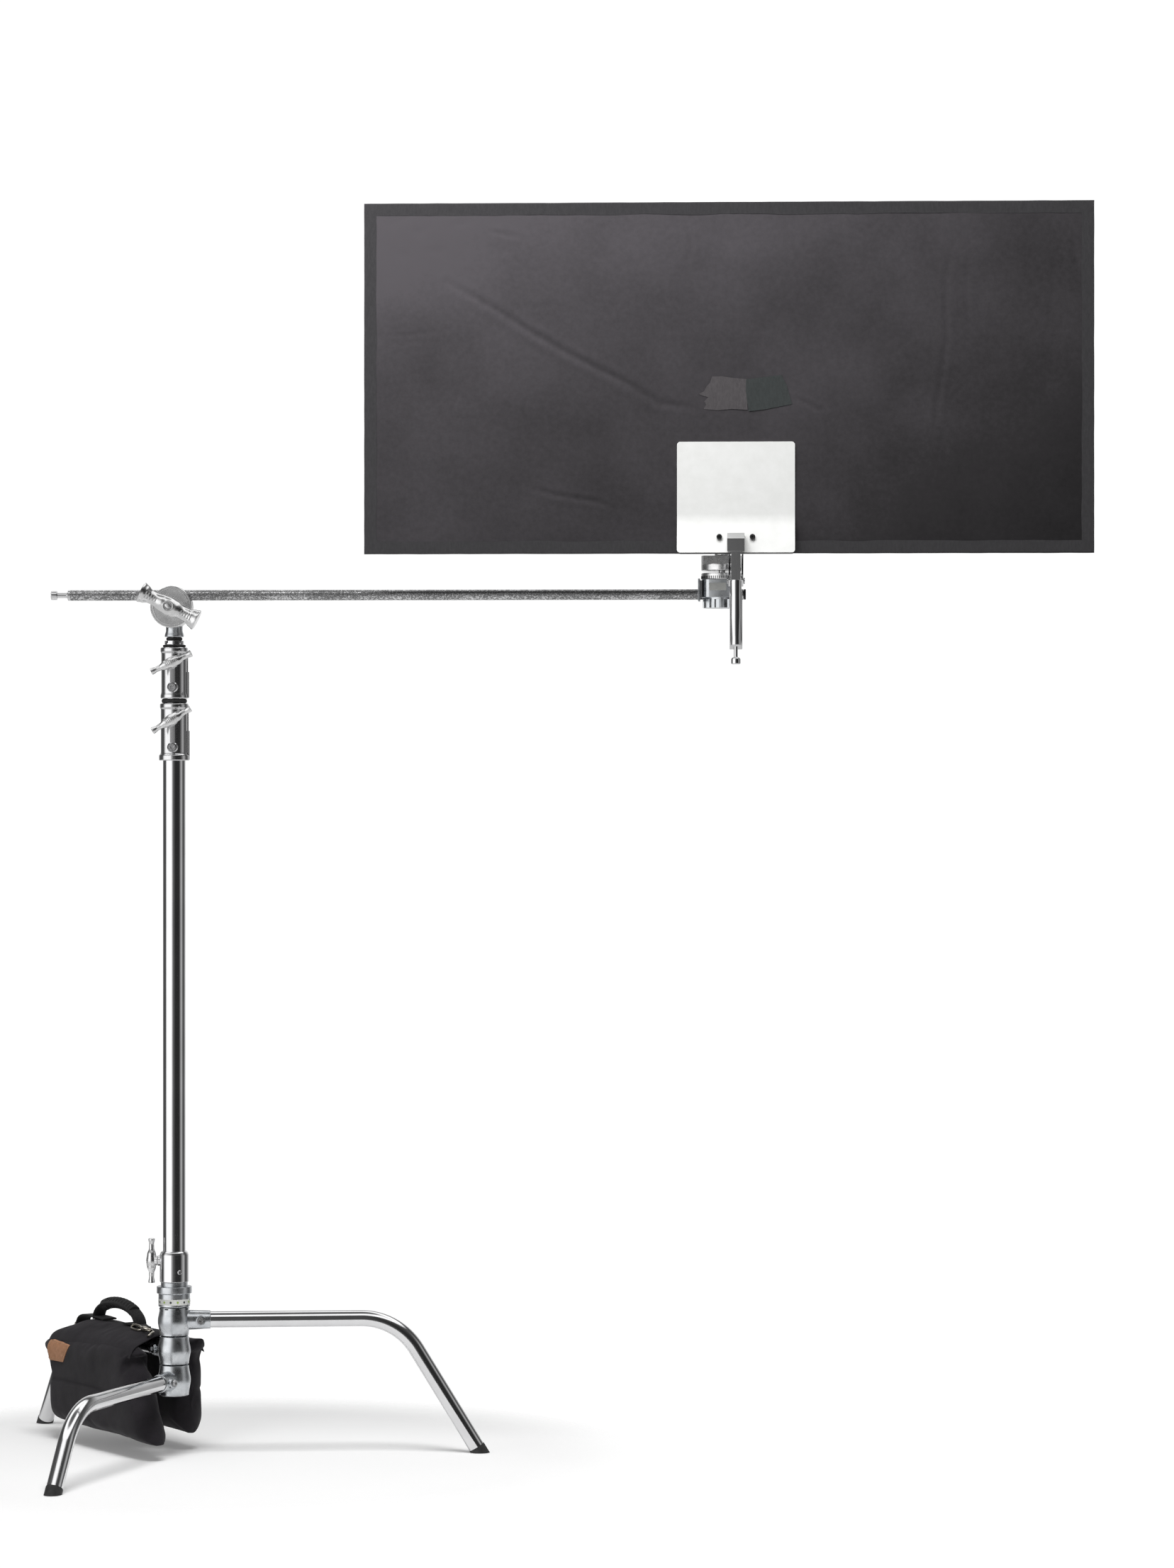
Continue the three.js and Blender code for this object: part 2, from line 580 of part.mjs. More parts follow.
function plateScrewGeometry(way) {
  const face = plateFace(PLATE_SCREW.z);
  const head = turned([[0, 0], [4.3, 0], [4.3, 2.4], [3.2, 3.6], [0, 3.6]], 14);
  const key = rod(1.8, [0, 0, 1.8], [0, 0, 5], 6);
  const shank = bar(2.2, -PLATE.thick - 4, 1, 10);
  return toFront(cut(join(head, shank), key))
    .translate(CLAMP.x + way * PLATE_SCREW.apart, BOARD.y - face - 1.6, PLATE_SCREW.z);
}

function clampFrameGeometry() {
  const grip = turned([
    [0, 1240], [5.5, 1240], [7.6, 1243], [7.2, 1252], [8.8, 1285], [8.3, 1318], [8.8, 1338], [7, 1350], [0, 1350],
  ], 14).scale(1, 0.82, 1).translate(0, HANDLE_Y, 0);
  const neck = raisedAlongX([[-128, 1340], [-113, 1340], [-113, 1368], [-116, 1380], [-116, 1386], [-129, 1388]], -7, 7);
  const lug = raisedAlongX([[-122, 1311], [-97, 1311], [-97, 1349], [-122, 1349]], -7, 7);
  const channel = raisedAlongX([
    [-130, 1383], [-115.9, 1383], [-108.4, 1409], [-118, 1411], [-130, 1402],
  ], -13, 13);
  const pin = rod(PIN.radius, [0, -120, CLAMP.z], [0, -4, CLAMP.z], 14);
  const body = join(grip, neck, lug, channel, pin);
  const pivotBore = rod(3.3, [-20, CLAMP_PIVOT.y, CLAMP_PIVOT.z], [20, CLAMP_PIVOT.y, CLAMP_PIVOT.z], 12);
  const leverBore = rod(2.8, [-20, LEVER_PIVOT.y, LEVER_PIVOT.z], [20, LEVER_PIVOT.y, LEVER_PIVOT.z], 12);
  const screwBore = rod(3.3, [0, HANDLE_Y, 1230], [0, HANDLE_Y, 1290], 12);
  return cut(body, pivotBore, leverBore, screwBore).translate(CLAMP.x, 0, 0);
}

function pivotGeometry() {
  const at = (x) => [x, CLAMP_PIVOT.y, CLAMP_PIVOT.z];
  const shank = rod(3, at(-13), at(13), 12);
  const heads = [-1, 1].map((side) => rod(4.8, at(side * (CHEEK.outer + GAP)), at(side * 13.4), 12));
  return join(shank, ...heads).translate(CLAMP.x, 0, 0);
}

function rearJawGeometry() {
  const cheekOutline = [
    [-115, 1340], [-108, 1331], [-98, 1331], [-80, 1346], [-71, 1364], [-62, 1383], [-62, 1396],
    [-71.6, 1396], [-68, 1383], [-67.7, 1380.8], [-84, 1371], [-104, 1350], [-112, 1348],
  ];
  const cheeks = [-1, 1].map((side) => {
    const edges = [side * CHEEK.inner, side * CHEEK.outer].sort((a, b) => a - b);
    return raisedAlongX(cheekOutline, ...edges);
  });
  const channel = raisedAlongX([[-68.2, 1383], [-58, 1383], [-58, 1400], [-66, 1411], [-75.4, 1409]], -13, 13);
  const body = join(...cheeks, channel);
  const pivotBore = rod(3.3, [-20, CLAMP_PIVOT.y, CLAMP_PIVOT.z], [20, CLAMP_PIVOT.y, CLAMP_PIVOT.z], 12);
  return cut(body, pivotBore).translate(CLAMP.x, 0, 0);
}

function releaseLeverGeometry() {
  const { y, z } = LEVER_PIVOT;
  const outline = [
    [y - 5, z - 12], [y - 5, z - 3], [y - 2, z + 6], [y + 3, z + 6], [y + 6, z + 1], [y + 7, z - 12],
  ];
  const cheeks = [-1, 1].map((side) => {
    const edges = [side * 7.3, side * 9.6].sort((a, b) => a - b);
    return raisedAlongX([...outline].reverse(), ...edges);
  });
  const grip = raisedAlongX([
    [y - 5, z - 12], [y - 5, z - 60], [y - 1, z - 82], [y + 6, z - 82], [y + 7, z - 12],
  ], -9.6, 9.6);
  const pin = rod(2.5, [-9, y, z], [9, y, z], 12);
  return join(...cheeks, grip, pin).translate(CLAMP.x, 0, 0);
}

function adjustingScrewGeometry() {
  return turned([
    [0, 1213], [6, 1213], [7.25, 1214.5], [7.25, 1221], [5.5, 1223], [3, 1224], [3, 1284], [0, 1284],
  ], 14).translate(CLAMP.x, HANDLE_Y, 0);
}

place('clamp_frame', clampFrameGeometry(), CHROME);
place('clamp_pivot', pivotGeometry(), DARK_STEEL);
place('rear_jaw', rearJawGeometry(), CHROME);
place('release_lever', releaseLeverGeometry(), CHROME);
place('adjusting_screw', adjustingScrewGeometry(), CHROME);
place('front_plate', plateGeometry(-1), WHITE_PAINT);
place('rear_plate', plateGeometry(1), WHITE_PAINT);
place('front_plate_screw_left', plateScrewGeometry(-1), DARK_STEEL);
place('front_plate_screw_right', plateScrewGeometry(1), DARK_STEEL);

// ------------------------------------------------------------------ board
function boardGeometry() {
  const { left, right, low, high, thick, y } = BOARD;
  return block([left, y - thick / 2, low], [right, y + thick / 2, high]);
}
place('board', boardGeometry(), BOARD_BLACK);

// ------------------------------------------------------------------ sandbag
// Its own frame: +X out along the rear leg, +Y to the camera side of that leg, +Z up.
const bag = new THREE.Group();
bag.rotation.z = HUBS.middle.azimuth;
stand.add(bag);

function pouchGeometry(outline, side) {
  const edges = [side * BAG.inner, side * BAG.outer].sort((a, b) => a - b);
  return raisedAlongY(outline, ...edges);
}

const FRONT_POUCH = [[-16, 22], [250, 26], [270, 92], [292, 146], [280, 162], [250, 176], [36, 172], [24, 146]];
const REAR_POUCH = [[28, 24], [238, 28], [252, 108], [258, 158], [246, 176], [24, 172], [20, 150], [26, 110]];
place('sandbag_front_pouch', pouchGeometry(FRONT_POUCH, 1), CANVAS, bag);
place('sandbag_rear_pouch', pouchGeometry(REAR_POUCH, -1), CANVAS, bag);

function saddleGeometry() {
  const edge = BAG.inner - GAP;
  return block([60, -edge, BAG.saddleLow], [268, edge, BAG.saddleHigh]);
}
place('sandbag_saddle', saddleGeometry(), CANVAS, bag);

function bagHandleGeometry() {
  const arch = { middle: 182, reach: 70, rise: 31, radius: 9, steps: 10 };
  const stations = Array.from({ length: arch.steps + 1 }, (_, i) => {
    const angle = Math.PI * (1 - i / arch.steps);
    const point = [arch.middle + arch.reach * Math.cos(angle), 0, BAG.saddleHigh + GAP + arch.rise * Math.sin(angle)];
    const way = [arch.reach * Math.sin(angle), 0, -arch.rise * Math.cos(angle)];
    return { point: new THREE.Vector3(...point), way: new THREE.Vector3(...way).normalize() };
  });
  return swept(stations, arch.radius, 0, 12);
}
place('sandbag_handle', bagHandleGeometry(), CANVAS, bag);
place('sandbag_snap_hook', rod(3.4, [66, 16, 190], [116, 16, 190], 10), CHROME, bag);

export default stand;
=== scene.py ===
"""Looks for the C stand: smooth metal, painted plates, a worn black board and a canvas sandbag."""

import json
import math

import bmesh
import bpy
import numpy as np
from mathutils import Matrix, Vector, noise

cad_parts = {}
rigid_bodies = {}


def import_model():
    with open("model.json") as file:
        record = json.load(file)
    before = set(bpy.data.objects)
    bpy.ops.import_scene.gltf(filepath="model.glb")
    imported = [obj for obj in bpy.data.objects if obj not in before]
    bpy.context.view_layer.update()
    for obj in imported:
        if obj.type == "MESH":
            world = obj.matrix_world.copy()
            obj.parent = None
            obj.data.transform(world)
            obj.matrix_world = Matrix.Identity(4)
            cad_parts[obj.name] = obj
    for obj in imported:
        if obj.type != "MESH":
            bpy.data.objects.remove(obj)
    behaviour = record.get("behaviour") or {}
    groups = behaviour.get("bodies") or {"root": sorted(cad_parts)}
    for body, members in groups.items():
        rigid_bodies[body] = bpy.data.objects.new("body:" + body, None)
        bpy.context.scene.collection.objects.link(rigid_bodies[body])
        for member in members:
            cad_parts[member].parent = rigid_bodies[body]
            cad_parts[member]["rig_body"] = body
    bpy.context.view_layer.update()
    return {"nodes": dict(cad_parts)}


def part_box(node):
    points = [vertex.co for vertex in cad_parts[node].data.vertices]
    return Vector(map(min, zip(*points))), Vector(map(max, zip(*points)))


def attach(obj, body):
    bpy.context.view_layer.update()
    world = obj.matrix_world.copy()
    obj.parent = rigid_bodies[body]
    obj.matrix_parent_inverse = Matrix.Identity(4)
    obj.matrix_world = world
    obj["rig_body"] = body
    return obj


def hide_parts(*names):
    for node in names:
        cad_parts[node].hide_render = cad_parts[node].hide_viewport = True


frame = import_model()

# ---------------------------------------------------------------- driving dimensions, in millimetres
MM = 0.001
CLEAR = 0.3

LEG = {"radius": 12.5, "slope": 58.6, "knee": 343, "bend": 100, "start": 30, "end": 9}
HUBS = {
    "bottom": {"low": 93, "high": 140.85, "socket": 117, "azimuth": -107.7, "bolt": 1, "leg": "front"},
    "middle": {"low": 141.15, "high": 184.85, "socket": 162, "azimuth": 125.6, "bolt": 1, "leg": "rear"},
    "top": {"low": 185.15, "high": 229.85, "socket": 209, "azimuth": 6.8, "bolt": -1, "leg": "right"},
}
HUB_BODY = {"bottom": "front_leg", "middle": "base", "top": "right_leg"}
HUB_BORE = 13.3
COLUMN = {"radius": 17.5, "bore": 15.5, "low": 290, "high": 1119}
LOWER_CASTING = {
    "low": 1069, "high": 1157, "radius": 20.8, "lip": 22, "flange": 23.5, "flange_height": 9,
    "socket": 17.8, "ledge": 1119.3, "bore": 15.3, "knob": 1131.5, "bolt": 1089.3,
}
UPPER_CASTING = {
    "low": 1164.3, "high": 1243, "radius": 20, "lip": 21.2, "flange": 21.2, "flange_height": 6,
    "socket": 15.3, "ledge": 1209.3, "bore": 12.8, "knob": 1219, "bolt": 1181.6,
}
KNOB = {"half": 34, "stand": 35}
HANDLE = {"half": 48, "flat": 0.86}
HEAD = {"z": 1304}
ARM = {"radius": 8, "bore": 6, "y": -27, "z": 1322, "left": -160, "right": 875, "stud": -186}
END = {"x": 842, "handle": 1381}
BOARD = {"left": 301, "right": 1403, "low": 1381, "high": 1912, "thick": 12, "y": -92}
CLAMP_X = 864
PLATE = {"width": 178, "low": 1381.5, "bend": 1432, "high": 1549.5, "thick": 2, "lean": 0.287, "corner": 5}
BAG_AZIMUTH = 125.6

AXIS_LOW, AXIS_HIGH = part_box("column_tube")
AXIS = Vector(((AXIS_LOW.x + AXIS_HIGH.x) / 2, (AXIS_LOW.y + AXIS_HIGH.y) / 2, 0))

UP = Vector((0, 0, 1))
FRONT = Vector((0, -1, 0))
LEFT = Vector((-1, 0, 0))
RIGHT = Vector((1, 0, 0))


def at(x, y, z):
    """A point given in millimetres from the foot of the column's axis."""
    return AXIS + Vector((x, y, z)) * MM


# ---------------------------------------------------------------- camera
CAMERA = {"spot": (919, -7069, 1033), "yaw": 2.3, "sensor": 36, "lens": 106, "reach": 100}


def make_camera():
    data = bpy.data.cameras.new("camera")
    data.sensor_width = CAMERA["sensor"]
    data.lens = CAMERA["lens"]
    data.clip_end = CAMERA["reach"]
    camera = bpy.data.objects.new("camera", data)
    camera.location = at(*CAMERA["spot"])
    camera.rotation_euler = (math.radians(90), 0, math.radians(CAMERA["yaw"]))
    bpy.context.scene.collection.objects.link(camera)
    bpy.context.scene.camera = camera


make_camera()


# ---------------------------------------------------------------- studio
def add(tree, kind, links=None, **settings):
    """A new shader node with its settings, and its inputs set to values or linked to sockets."""
    made = tree.nodes.new(kind)
    for key, value in settings.items():
        setattr(made, key, value)
    for key, value in (links or {}).items():
        if isinstance(value, bpy.types.NodeSocket):
            tree.links.new(value, made.inputs[key])
        else:
            made.inputs[key].default_value = value
    return made


def ramp(tree, factor, stops, interpolation="LINEAR"):
    """A colour ramp from (place, grey or colour) stops."""
    made = add(tree, "ShaderNodeValToRGB", {"Fac": factor})
    made.color_ramp.interpolation = interpolation
    elements = made.color_ramp.elements
    elements[0].position, elements[1].position = stops[0][0], stops[-1][0]
    for place, _ in stops[1:-1]:
        elements.new(place)
    for element, (_, colour) in zip(elements, stops):
        element.color = (*((colour,) * 3 if isinstance(colour, (int, float)) else colour), 1)
    return made.outputs["Color"]


# What polished metal mirrors: soft boxes and dark gaps round the stand, by azimuth in degrees from the
# front, positive to the right. Far above and far below, the level by elevation takes over.
ROUND_STOPS = [
    (-180, 0.9), (-150, 0.5), (-130, 0.1), (-90, 0.08), (-72, 1.5), (-22, 1.5), (-12, 0.4), (0, 0.12),
    (18, 0.03), (58, 0.03), (70, 0.25), (84, 0.6), (96, 0.25), (108, 0.06), (120, 0.12), (137, 0.4),
    (158, 1.0), (180, 0.9),
]
HEIGHT_STOPS = [
    (-90, 0.75), (-15, 0.72), (0, 0.4), (30, 0.06), (44, 0.1), (50, 1.5), (66, 1.5), (74, 0.25), (90, 0.1),
]
ROUND_LEVELS = [(-90, 0.0), (-17, 0.0), (-11, 1.0), (20, 1.0), (40, 0.0), (90, 0.0)]
WORLD_LIGHT = 0.24


def world_direction(tree):
    """The azimuth and the elevation of a direction, each as a part of its full range."""
    toward = add(tree, "ShaderNodeSeparateXYZ", {0: add(tree, "ShaderNodeTexCoord").outputs["Generated"]})
    back = add(tree, "ShaderNodeMath", {0: toward.outputs["Y"], 1: -1.0}, operation="MULTIPLY")
    turn = add(tree, "ShaderNodeMath", {0: toward.outputs["X"], 1: back.outputs[0]}, operation="ARCTAN2")
    azimuth = add(tree, "ShaderNodeMapRange", {
        "Value": turn.outputs[0], "From Min": -math.pi, "From Max": math.pi,
    })
    rise = add(tree, "ShaderNodeMath", {0: toward.outputs["Z"]}, operation="ARCSINE")
    elevation = add(tree, "ShaderNodeMapRange", {
        "Value": rise.outputs[0], "From Min": -math.pi / 2, "From Max": math.pi / 2,
    })
    return azimuth.outputs[0], elevation.outputs[0]


def make_world():
    world = bpy.data.worlds.new("studio")
    bpy.context.scene.world = world
    world.use_nodes = True
    tree = world.node_tree
    tree.nodes.clear()
    azimuth, elevation = world_direction(tree)
    around = ramp(tree, azimuth, [((a + 180) / 360, v / 2) for a, v in ROUND_STOPS])
    height = ramp(tree, elevation, [((e + 90) / 180, v / 2) for e, v in HEIGHT_STOPS])
    level = ramp(tree, elevation, [((e + 90) / 180, v) for e, v in ROUND_LEVELS])
    mirrored = add(tree, "ShaderNodeMix", data_type="RGBA")
    for index, socket in ((0, level), (6, height), (7, around)):
        tree.links.new(socket, mirrored.inputs[index])
    path = add(tree, "ShaderNodeLightPath")
    glossy = add(tree, "ShaderNodeBackground", {"Color": mirrored.outputs[2], "Strength": 2.0})
    soft = add(tree, "ShaderNodeBackground", {"Color": (1, 1, 1, 1), "Strength": WORLD_LIGHT})
    seen = add(tree, "ShaderNodeBackground", {"Color": (1, 1, 1, 1), "Strength": 1.05})
    lit = add(tree, "ShaderNodeMixShader", {
        0: path.outputs["Is Glossy Ray"], 1: soft.outputs[0], 2: glossy.outputs[0],
    })
    whole = add(tree, "ShaderNodeMixShader", {
        0: path.outputs["Is Camera Ray"], 1: lit.outputs[0], 2: seen.outputs[0],
    })
    add(tree, "ShaderNodeOutputWorld", {"Surface": whole.outputs[0]})


def area_light(name, spot, aim, size, power):
    data = bpy.data.lights.new(name, "AREA")
    data.shape = "RECTANGLE"
    data.size, data.size_y = size
    data.energy = power
    light = bpy.data.objects.new(name, data)
    light.location = at(*spot)
    light.rotation_euler = (at(*aim) - light.location).to_track_quat("-Z", "Y").to_euler()
    bpy.context.scene.collection.objects.link(light)
    light.visible_glossy = False


# The floor's radius and the radius where it starts to fade are in metres, its level in millimetres.
FLOOR = {"radius": 0.8, "fade": 0.48, "level": -0.5, "sides": 96, "glow": 0.14}


def make_floor():
    """A pale disc whose rim fades into the pale surroundings."""
    centre = at(60, 0, FLOOR["level"])
    points = [centre]
    for k in range(FLOOR["sides"]):
        angle = 2 * math.pi * k / FLOOR["sides"]
        points.append(centre + FLOOR["radius"] * Vector((math.cos(angle), math.sin(angle), 0)))
    faces = [(0, k + 1, (k + 1) % FLOOR["sides"] + 1) for k in range(FLOOR["sides"])]
    mesh = bpy.data.meshes.new("studio_floor")
    mesh.from_pydata(points, [], faces)
    floor = bpy.data.objects.new("studio_floor", mesh)
    bpy.context.scene.collection.objects.link(floor)
    mesh.materials.append(floor_material(centre))


def floor_material(centre):
    material = bpy.data.materials.new("studio_floor")
    material.use_nodes = True
    tree = material.node_tree
    shader = tree.nodes["Principled BSDF"]
    place = add(tree, "ShaderNodeTexCoord").outputs["Object"]
    grain = add(tree, "ShaderNodeTexNoise", {"Vector": place, "Scale": 3.0, "Detail": 2.0}).outputs["Fac"]
    tree.links.new(ramp(tree, grain, [(0.3, 0.86), (0.7, 0.88)]), shader.inputs["Base Color"])
    shader.inputs["Roughness"].default_value = 0.9
    shader.inputs["Specular IOR Level"].default_value = 0.0
    shader.inputs["Emission Color"].default_value = (1, 1, 1, 1)
    shader.inputs["Emission Strength"].default_value = FLOOR["glow"]
    away = add(tree, "ShaderNodeVectorMath", {0: place, 1: centre}, operation="DISTANCE").outputs["Value"]
    rim = add(tree, "ShaderNodeMapRange", {
        "Value": away, "From Min": FLOOR["fade"], "From Max": FLOOR["radius"] - 0.05,
    }, interpolation_type="SMOOTHSTEP")
    clear = add(tree, "ShaderNodeBsdfTransparent")
    faded = add(tree, "ShaderNodeMixShader", {
        0: rim.outputs["Result"], 1: shader.outputs[0], 2: clear.outputs[0],
    })
    tree.links.new(faded.outputs[0], tree.nodes["Material Output"].inputs["Surface"])
    return material


bpy.context.scene.view_settings.view_transform = "Standard"
make_world()
area_light("overhead", (500, -1300, 3600), (500, 150, 0), (1.8, 1.4), 95)
area_light("over_board", (0, -900, 2350), (330, -92, 1850), (0.7, 0.5), 8)
area_light("left_box", (-3200, -3300, 1700), (300, 0, 900), (1.8, 2.4), 12)
area_light("right_box", (4200, -1800, 1500), (400, 0, 900), (1.2, 2.4), 4)
make_floor()


# ---------------------------------------------------------------- materials
class Look:
    """A procedural material. Its patterns are fixed to the piece, at real sizes in metres."""

    def __init__(self, name):
        self.material = bpy.data.materials.new(name)
        self.material.use_nodes = True
        self.tree = self.material.node_tree
        self.shader = self.tree.nodes["Principled BSDF"]
        self.place = add(self.tree, "ShaderNodeTexCoord").outputs["Object"]

    def set(self, **values):
        for key, value in values.items():
            self.shader.inputs[key.replace("_", " ")].default_value = value

    def link(self, key, socket):
        self.tree.links.new(socket, self.shader.inputs[key])

    def stretched(self, scale):
        return add(self.tree, "ShaderNodeMapping", {"Vector": self.place, "Scale": scale}).outputs["Vector"]

    def noise(self, size, detail=3.0, rough=0.55, scale=(1, 1, 1), distortion=0.0):
        """Noise whose features are about `size` millimetres across."""
        return add(self.tree, "ShaderNodeTexNoise", {
            "Vector": self.stretched(scale), "Scale": 1 / (size * MM), "Detail": detail,
            "Roughness": rough, "Distortion": distortion,
        }).outputs["Fac"]

    def cells(self, size):
        return add(self.tree, "ShaderNodeTexVoronoi", {
            "Vector": self.place, "Scale": 1 / (size * MM),
        }).outputs["Distance"]

    def ramp(self, factor, stops, interpolation="LINEAR"):
        return ramp(self.tree, factor, stops, interpolation)

    def math(self, kind, a, b=0.0):
        return add(self.tree, "ShaderNodeMath", {0: a, 1: b}, operation=kind).outputs[0]

    def mix(self, factor, a, b):
        made = add(self.tree, "ShaderNodeMix", data_type="RGBA")
        for index, value in ((0, factor), (6, a), (7, b)):
            if isinstance(value, bpy.types.NodeSocket):
                self.tree.links.new(value, made.inputs[index])
            else:
                made.inputs[index].default_value = value
        return made.outputs[2]

    def bump(self, height, depth, strength=1.0):
        """A bump whose full height is `depth` millimetres."""
        made = add(self.tree, "ShaderNodeBump", {
            "Height": height, "Distance": depth * MM, "Strength": strength,
        })
        self.link("Normal", made.outputs["Normal"])


def grey(value):
    return (value, value, value * 1.01)


def mottled(name, colour, gloss, grain=None, **settings):
    """A finish of mottled colour and gloss with a fine grain. `colour` and `gloss` each hold a noise's
    arguments and the stops it runs through, and `gloss` may be one roughness instead. `grain` holds a noise's
    arguments, its depth in millimetres and its strength."""
    look = Look(name)
    look.set(**settings)
    look.link("Base Color", look.ramp(look.noise(*colour[0]), colour[1]))
    if isinstance(gloss, float):
        look.set(Roughness=gloss)
    else:
        look.link("Roughness", look.ramp(look.noise(*gloss[0]), gloss[1]))
    if grain:
        look.bump(look.noise(*grain[0]), *grain[1:])
    return look.material


def band_look(name, tint):
    colour = (6, 4), [(0.3, tuple(0.9 * c for c in tint)), (0.7, tint)]
    return mottled(name, colour, ((4, 3), [(0.3, 0.3), (0.7, 0.5)]))


def chrome_look():
    look = Look("chrome")
    look.set(Metallic=1.0)
    haze = look.noise(60, 4)
    look.link("Base Color", look.ramp(haze, [(0.3, grey(0.66)), (0.7, grey(0.74))]))
    scratches = look.noise(1.2, 5, 0.6, scale=(1, 1, 0.03))
    look.link("Roughness", look.ramp(scratches, [(0.35, 0.05), (0.75, 0.16)]))
    look.bump(look.noise(30, 2, 0.4, scale=(1, 1, 0.4)), 0.02, 0.15)
    return look.material


def cast_look():
    look = Look("cast_alloy")
    look.set(Metallic=1.0)
    cloud = look.noise(11, 4, 0.6)
    look.link("Base Color", look.ramp(cloud, [
        (0.25, (0.46, 0.48, 0.5)), (0.5, (0.56, 0.58, 0.6)), (0.8, (0.64, 0.655, 0.67)),
    ]))
    look.link("Roughness", look.ramp(look.noise(9, 4), [(0.3, 0.24), (0.75, 0.36)]))
    pits = look.cells(2.6)
    grain = look.math("ADD", look.noise(1.4, 3, 0.6), look.ramp(pits, [(0.0, 0.0), (0.35, 0.35)]))
    look.bump(grain, 0.02, 0.3)
    return look.material


def brushed_look():
    """Riser clamps: plated castings with fine lines that run up and down."""
    look = Look("brushed_casting")
    look.set(Metallic=1.0)
    lines = look.noise(1.6, 5, 0.7, scale=(1, 1, 0.02))
    look.link("Base Color", look.ramp(lines, [(0.25, grey(0.56)), (0.5, grey(0.64)), (0.8, grey(0.7))]))
    look.link("Roughness", look.ramp(lines, [(0.3, 0.13), (0.7, 0.22)]))
    look.bump(lines, 0.01, 0.2)
    return look.material


def arm_look():
    """The arm's plating is peeling: dark bare patches and bright flecks, except at the left end."""
    look = Look("worn_chrome")
    look.set(Metallic=1.0)
    spots = look.noise(2.4, 5, 0.7, scale=(0.8, 1, 1), distortion=0.2)
    flecks = look.noise(1.6, 3, 0.6, scale=(0.9, 1, 1))
    runs = look.noise(90, 3, 0.6, scale=(1, 0.2, 0.2))
    sideways = add(look.tree, "ShaderNodeSeparateXYZ", {0: look.place}).outputs["X"]
    worn_from = (at(ARM["left"] + 4, 0, 0)).x
    worn = look.math("GREATER_THAN", sideways, worn_from)
    patchy = look.math("MULTIPLY", look.ramp(look.math("ADD", spots, look.math("MULTIPLY", runs, 0.35)), [
        (0.6, 0.0), (0.68, 1.0),
    ]), worn)
    bright = look.math("MULTIPLY", look.ramp(flecks, [(0.6, 0.0), (0.66, 1.0)]), worn)
    plated = look.mix(patchy, (*grey(0.62), 1), (*grey(0.2), 1))
    look.link("Base Color", look.mix(bright, plated, (*grey(0.86), 1)))
    look.link("Roughness", look.ramp(look.math("ADD", patchy, bright), [(0.0, 0.1), (1.0, 0.42)]))
    look.bump(look.math("SUBTRACT", 1.0, patchy), 0.08, 0.5)
    return look.material


def painted_sheen(look):
    """The painted sheen on the board's skin: how much lighter it is painted, most at its upper left and least
    at its lower right.
    """
    place = add(look.tree, "ShaderNodeSeparateXYZ", {0: look.place})
    low, high = at(BOARD["left"], 0, BOARD["low"]), at(BOARD["right"], 0, BOARD["high"])
    across = add(look.tree, "ShaderNodeMapRange", {
        "Value": place.outputs["X"], "From Min": high.x, "From Max": (low.x + high.x) / 2, "To Max": 0.45,
    })
    up = add(look.tree, "ShaderNodeMapRange", {
        "Value": place.outputs["Z"], "From Min": low.z, "From Max": high.z, "To Max": 0.55,
    })
    return look.math("ADD", across.outputs["Result"], up.outputs["Result"])


def board_look():
    """Black paper over foam: faintly mottled, with a painted sheen that makes it lighter towards the upper
    left and the top.
    """
    look = Look("black_board")
    look.set(Specular_IOR_Level=0.22)
    broad = look.noise(240, 3, 0.55)
    small = look.noise(9, 5, 0.7)
    shade = look.math("ADD", look.math("MULTIPLY", broad, 0.55), look.math("MULTIPLY", small, 0.25))
    # painted sheen: the colour is made lighter towards the upper left and the top, where soft light glances
    # off the board
    shade = look.math("ADD", shade, look.math("MULTIPLY", painted_sheen(look), 0.6))
    look.link("Base Color", look.ramp(shade, [
        (0.3, (0.0085, 0.008, 0.0085)), (0.62, (0.025, 0.0233, 0.025)), (1.0, (0.066, 0.061, 0.067)),
    ]))
    look.link("Roughness", look.ramp(look.noise(30, 4), [(0.3, 0.5), (0.7, 0.66)]))
    fibre = look.noise(1.6, 4, 0.65)
    look.bump(fibre, 0.05, 0.35)
    return look.material


def tape_look(name, tint, rough):
    look = Look(name)
    cloth = look.noise(2.2, 4, 0.6, scale=(1, 1, 0.3))
    look.link("Base Color", look.ramp(cloth, [
        (0.3, tuple(0.82 * c for c in tint)), (0.7, tuple(1.15 * c for c in tint)),
    ]))
    look.link("Roughness", look.ramp(look.noise(8, 3), [(0.3, rough - 0.08), (0.7, rough + 0.08)]))
    look.bump(cloth, 0.08, 0.4)
    return look.material


def canvas_look():
    """Black canvas, faded unevenly, with a plain weave."""
    look = Look("black_canvas")
    look.set(Sheen_Weight=0.08, Sheen_Roughness=0.5, Specular_IOR_Level=0.15)
    fade = look.noise(45, 5, 0.65)
    fuzz = look.noise(1.2, 3, 0.6)
    shade = look.math("ADD", look.math("MULTIPLY", fade, 0.75), look.math("MULTIPLY", fuzz, 0.25))
    look.link("Base Color", look.ramp(shade, [
        (0.25, (0.012, 0.011, 0.013)), (0.55, (0.021, 0.019, 0.022)), (0.85, (0.036, 0.033, 0.038)),
    ]))
    look.set(Roughness=0.9)
    warp = look.noise(1.3, 2, 0.5, scale=(1, 1, 0.35))
    weft = look.noise(1.3, 2, 0.5, scale=(0.4, 0.4, 1))
    look.bump(look.math("ADD", warp, weft), 0.25, 0.55)
    return look.material


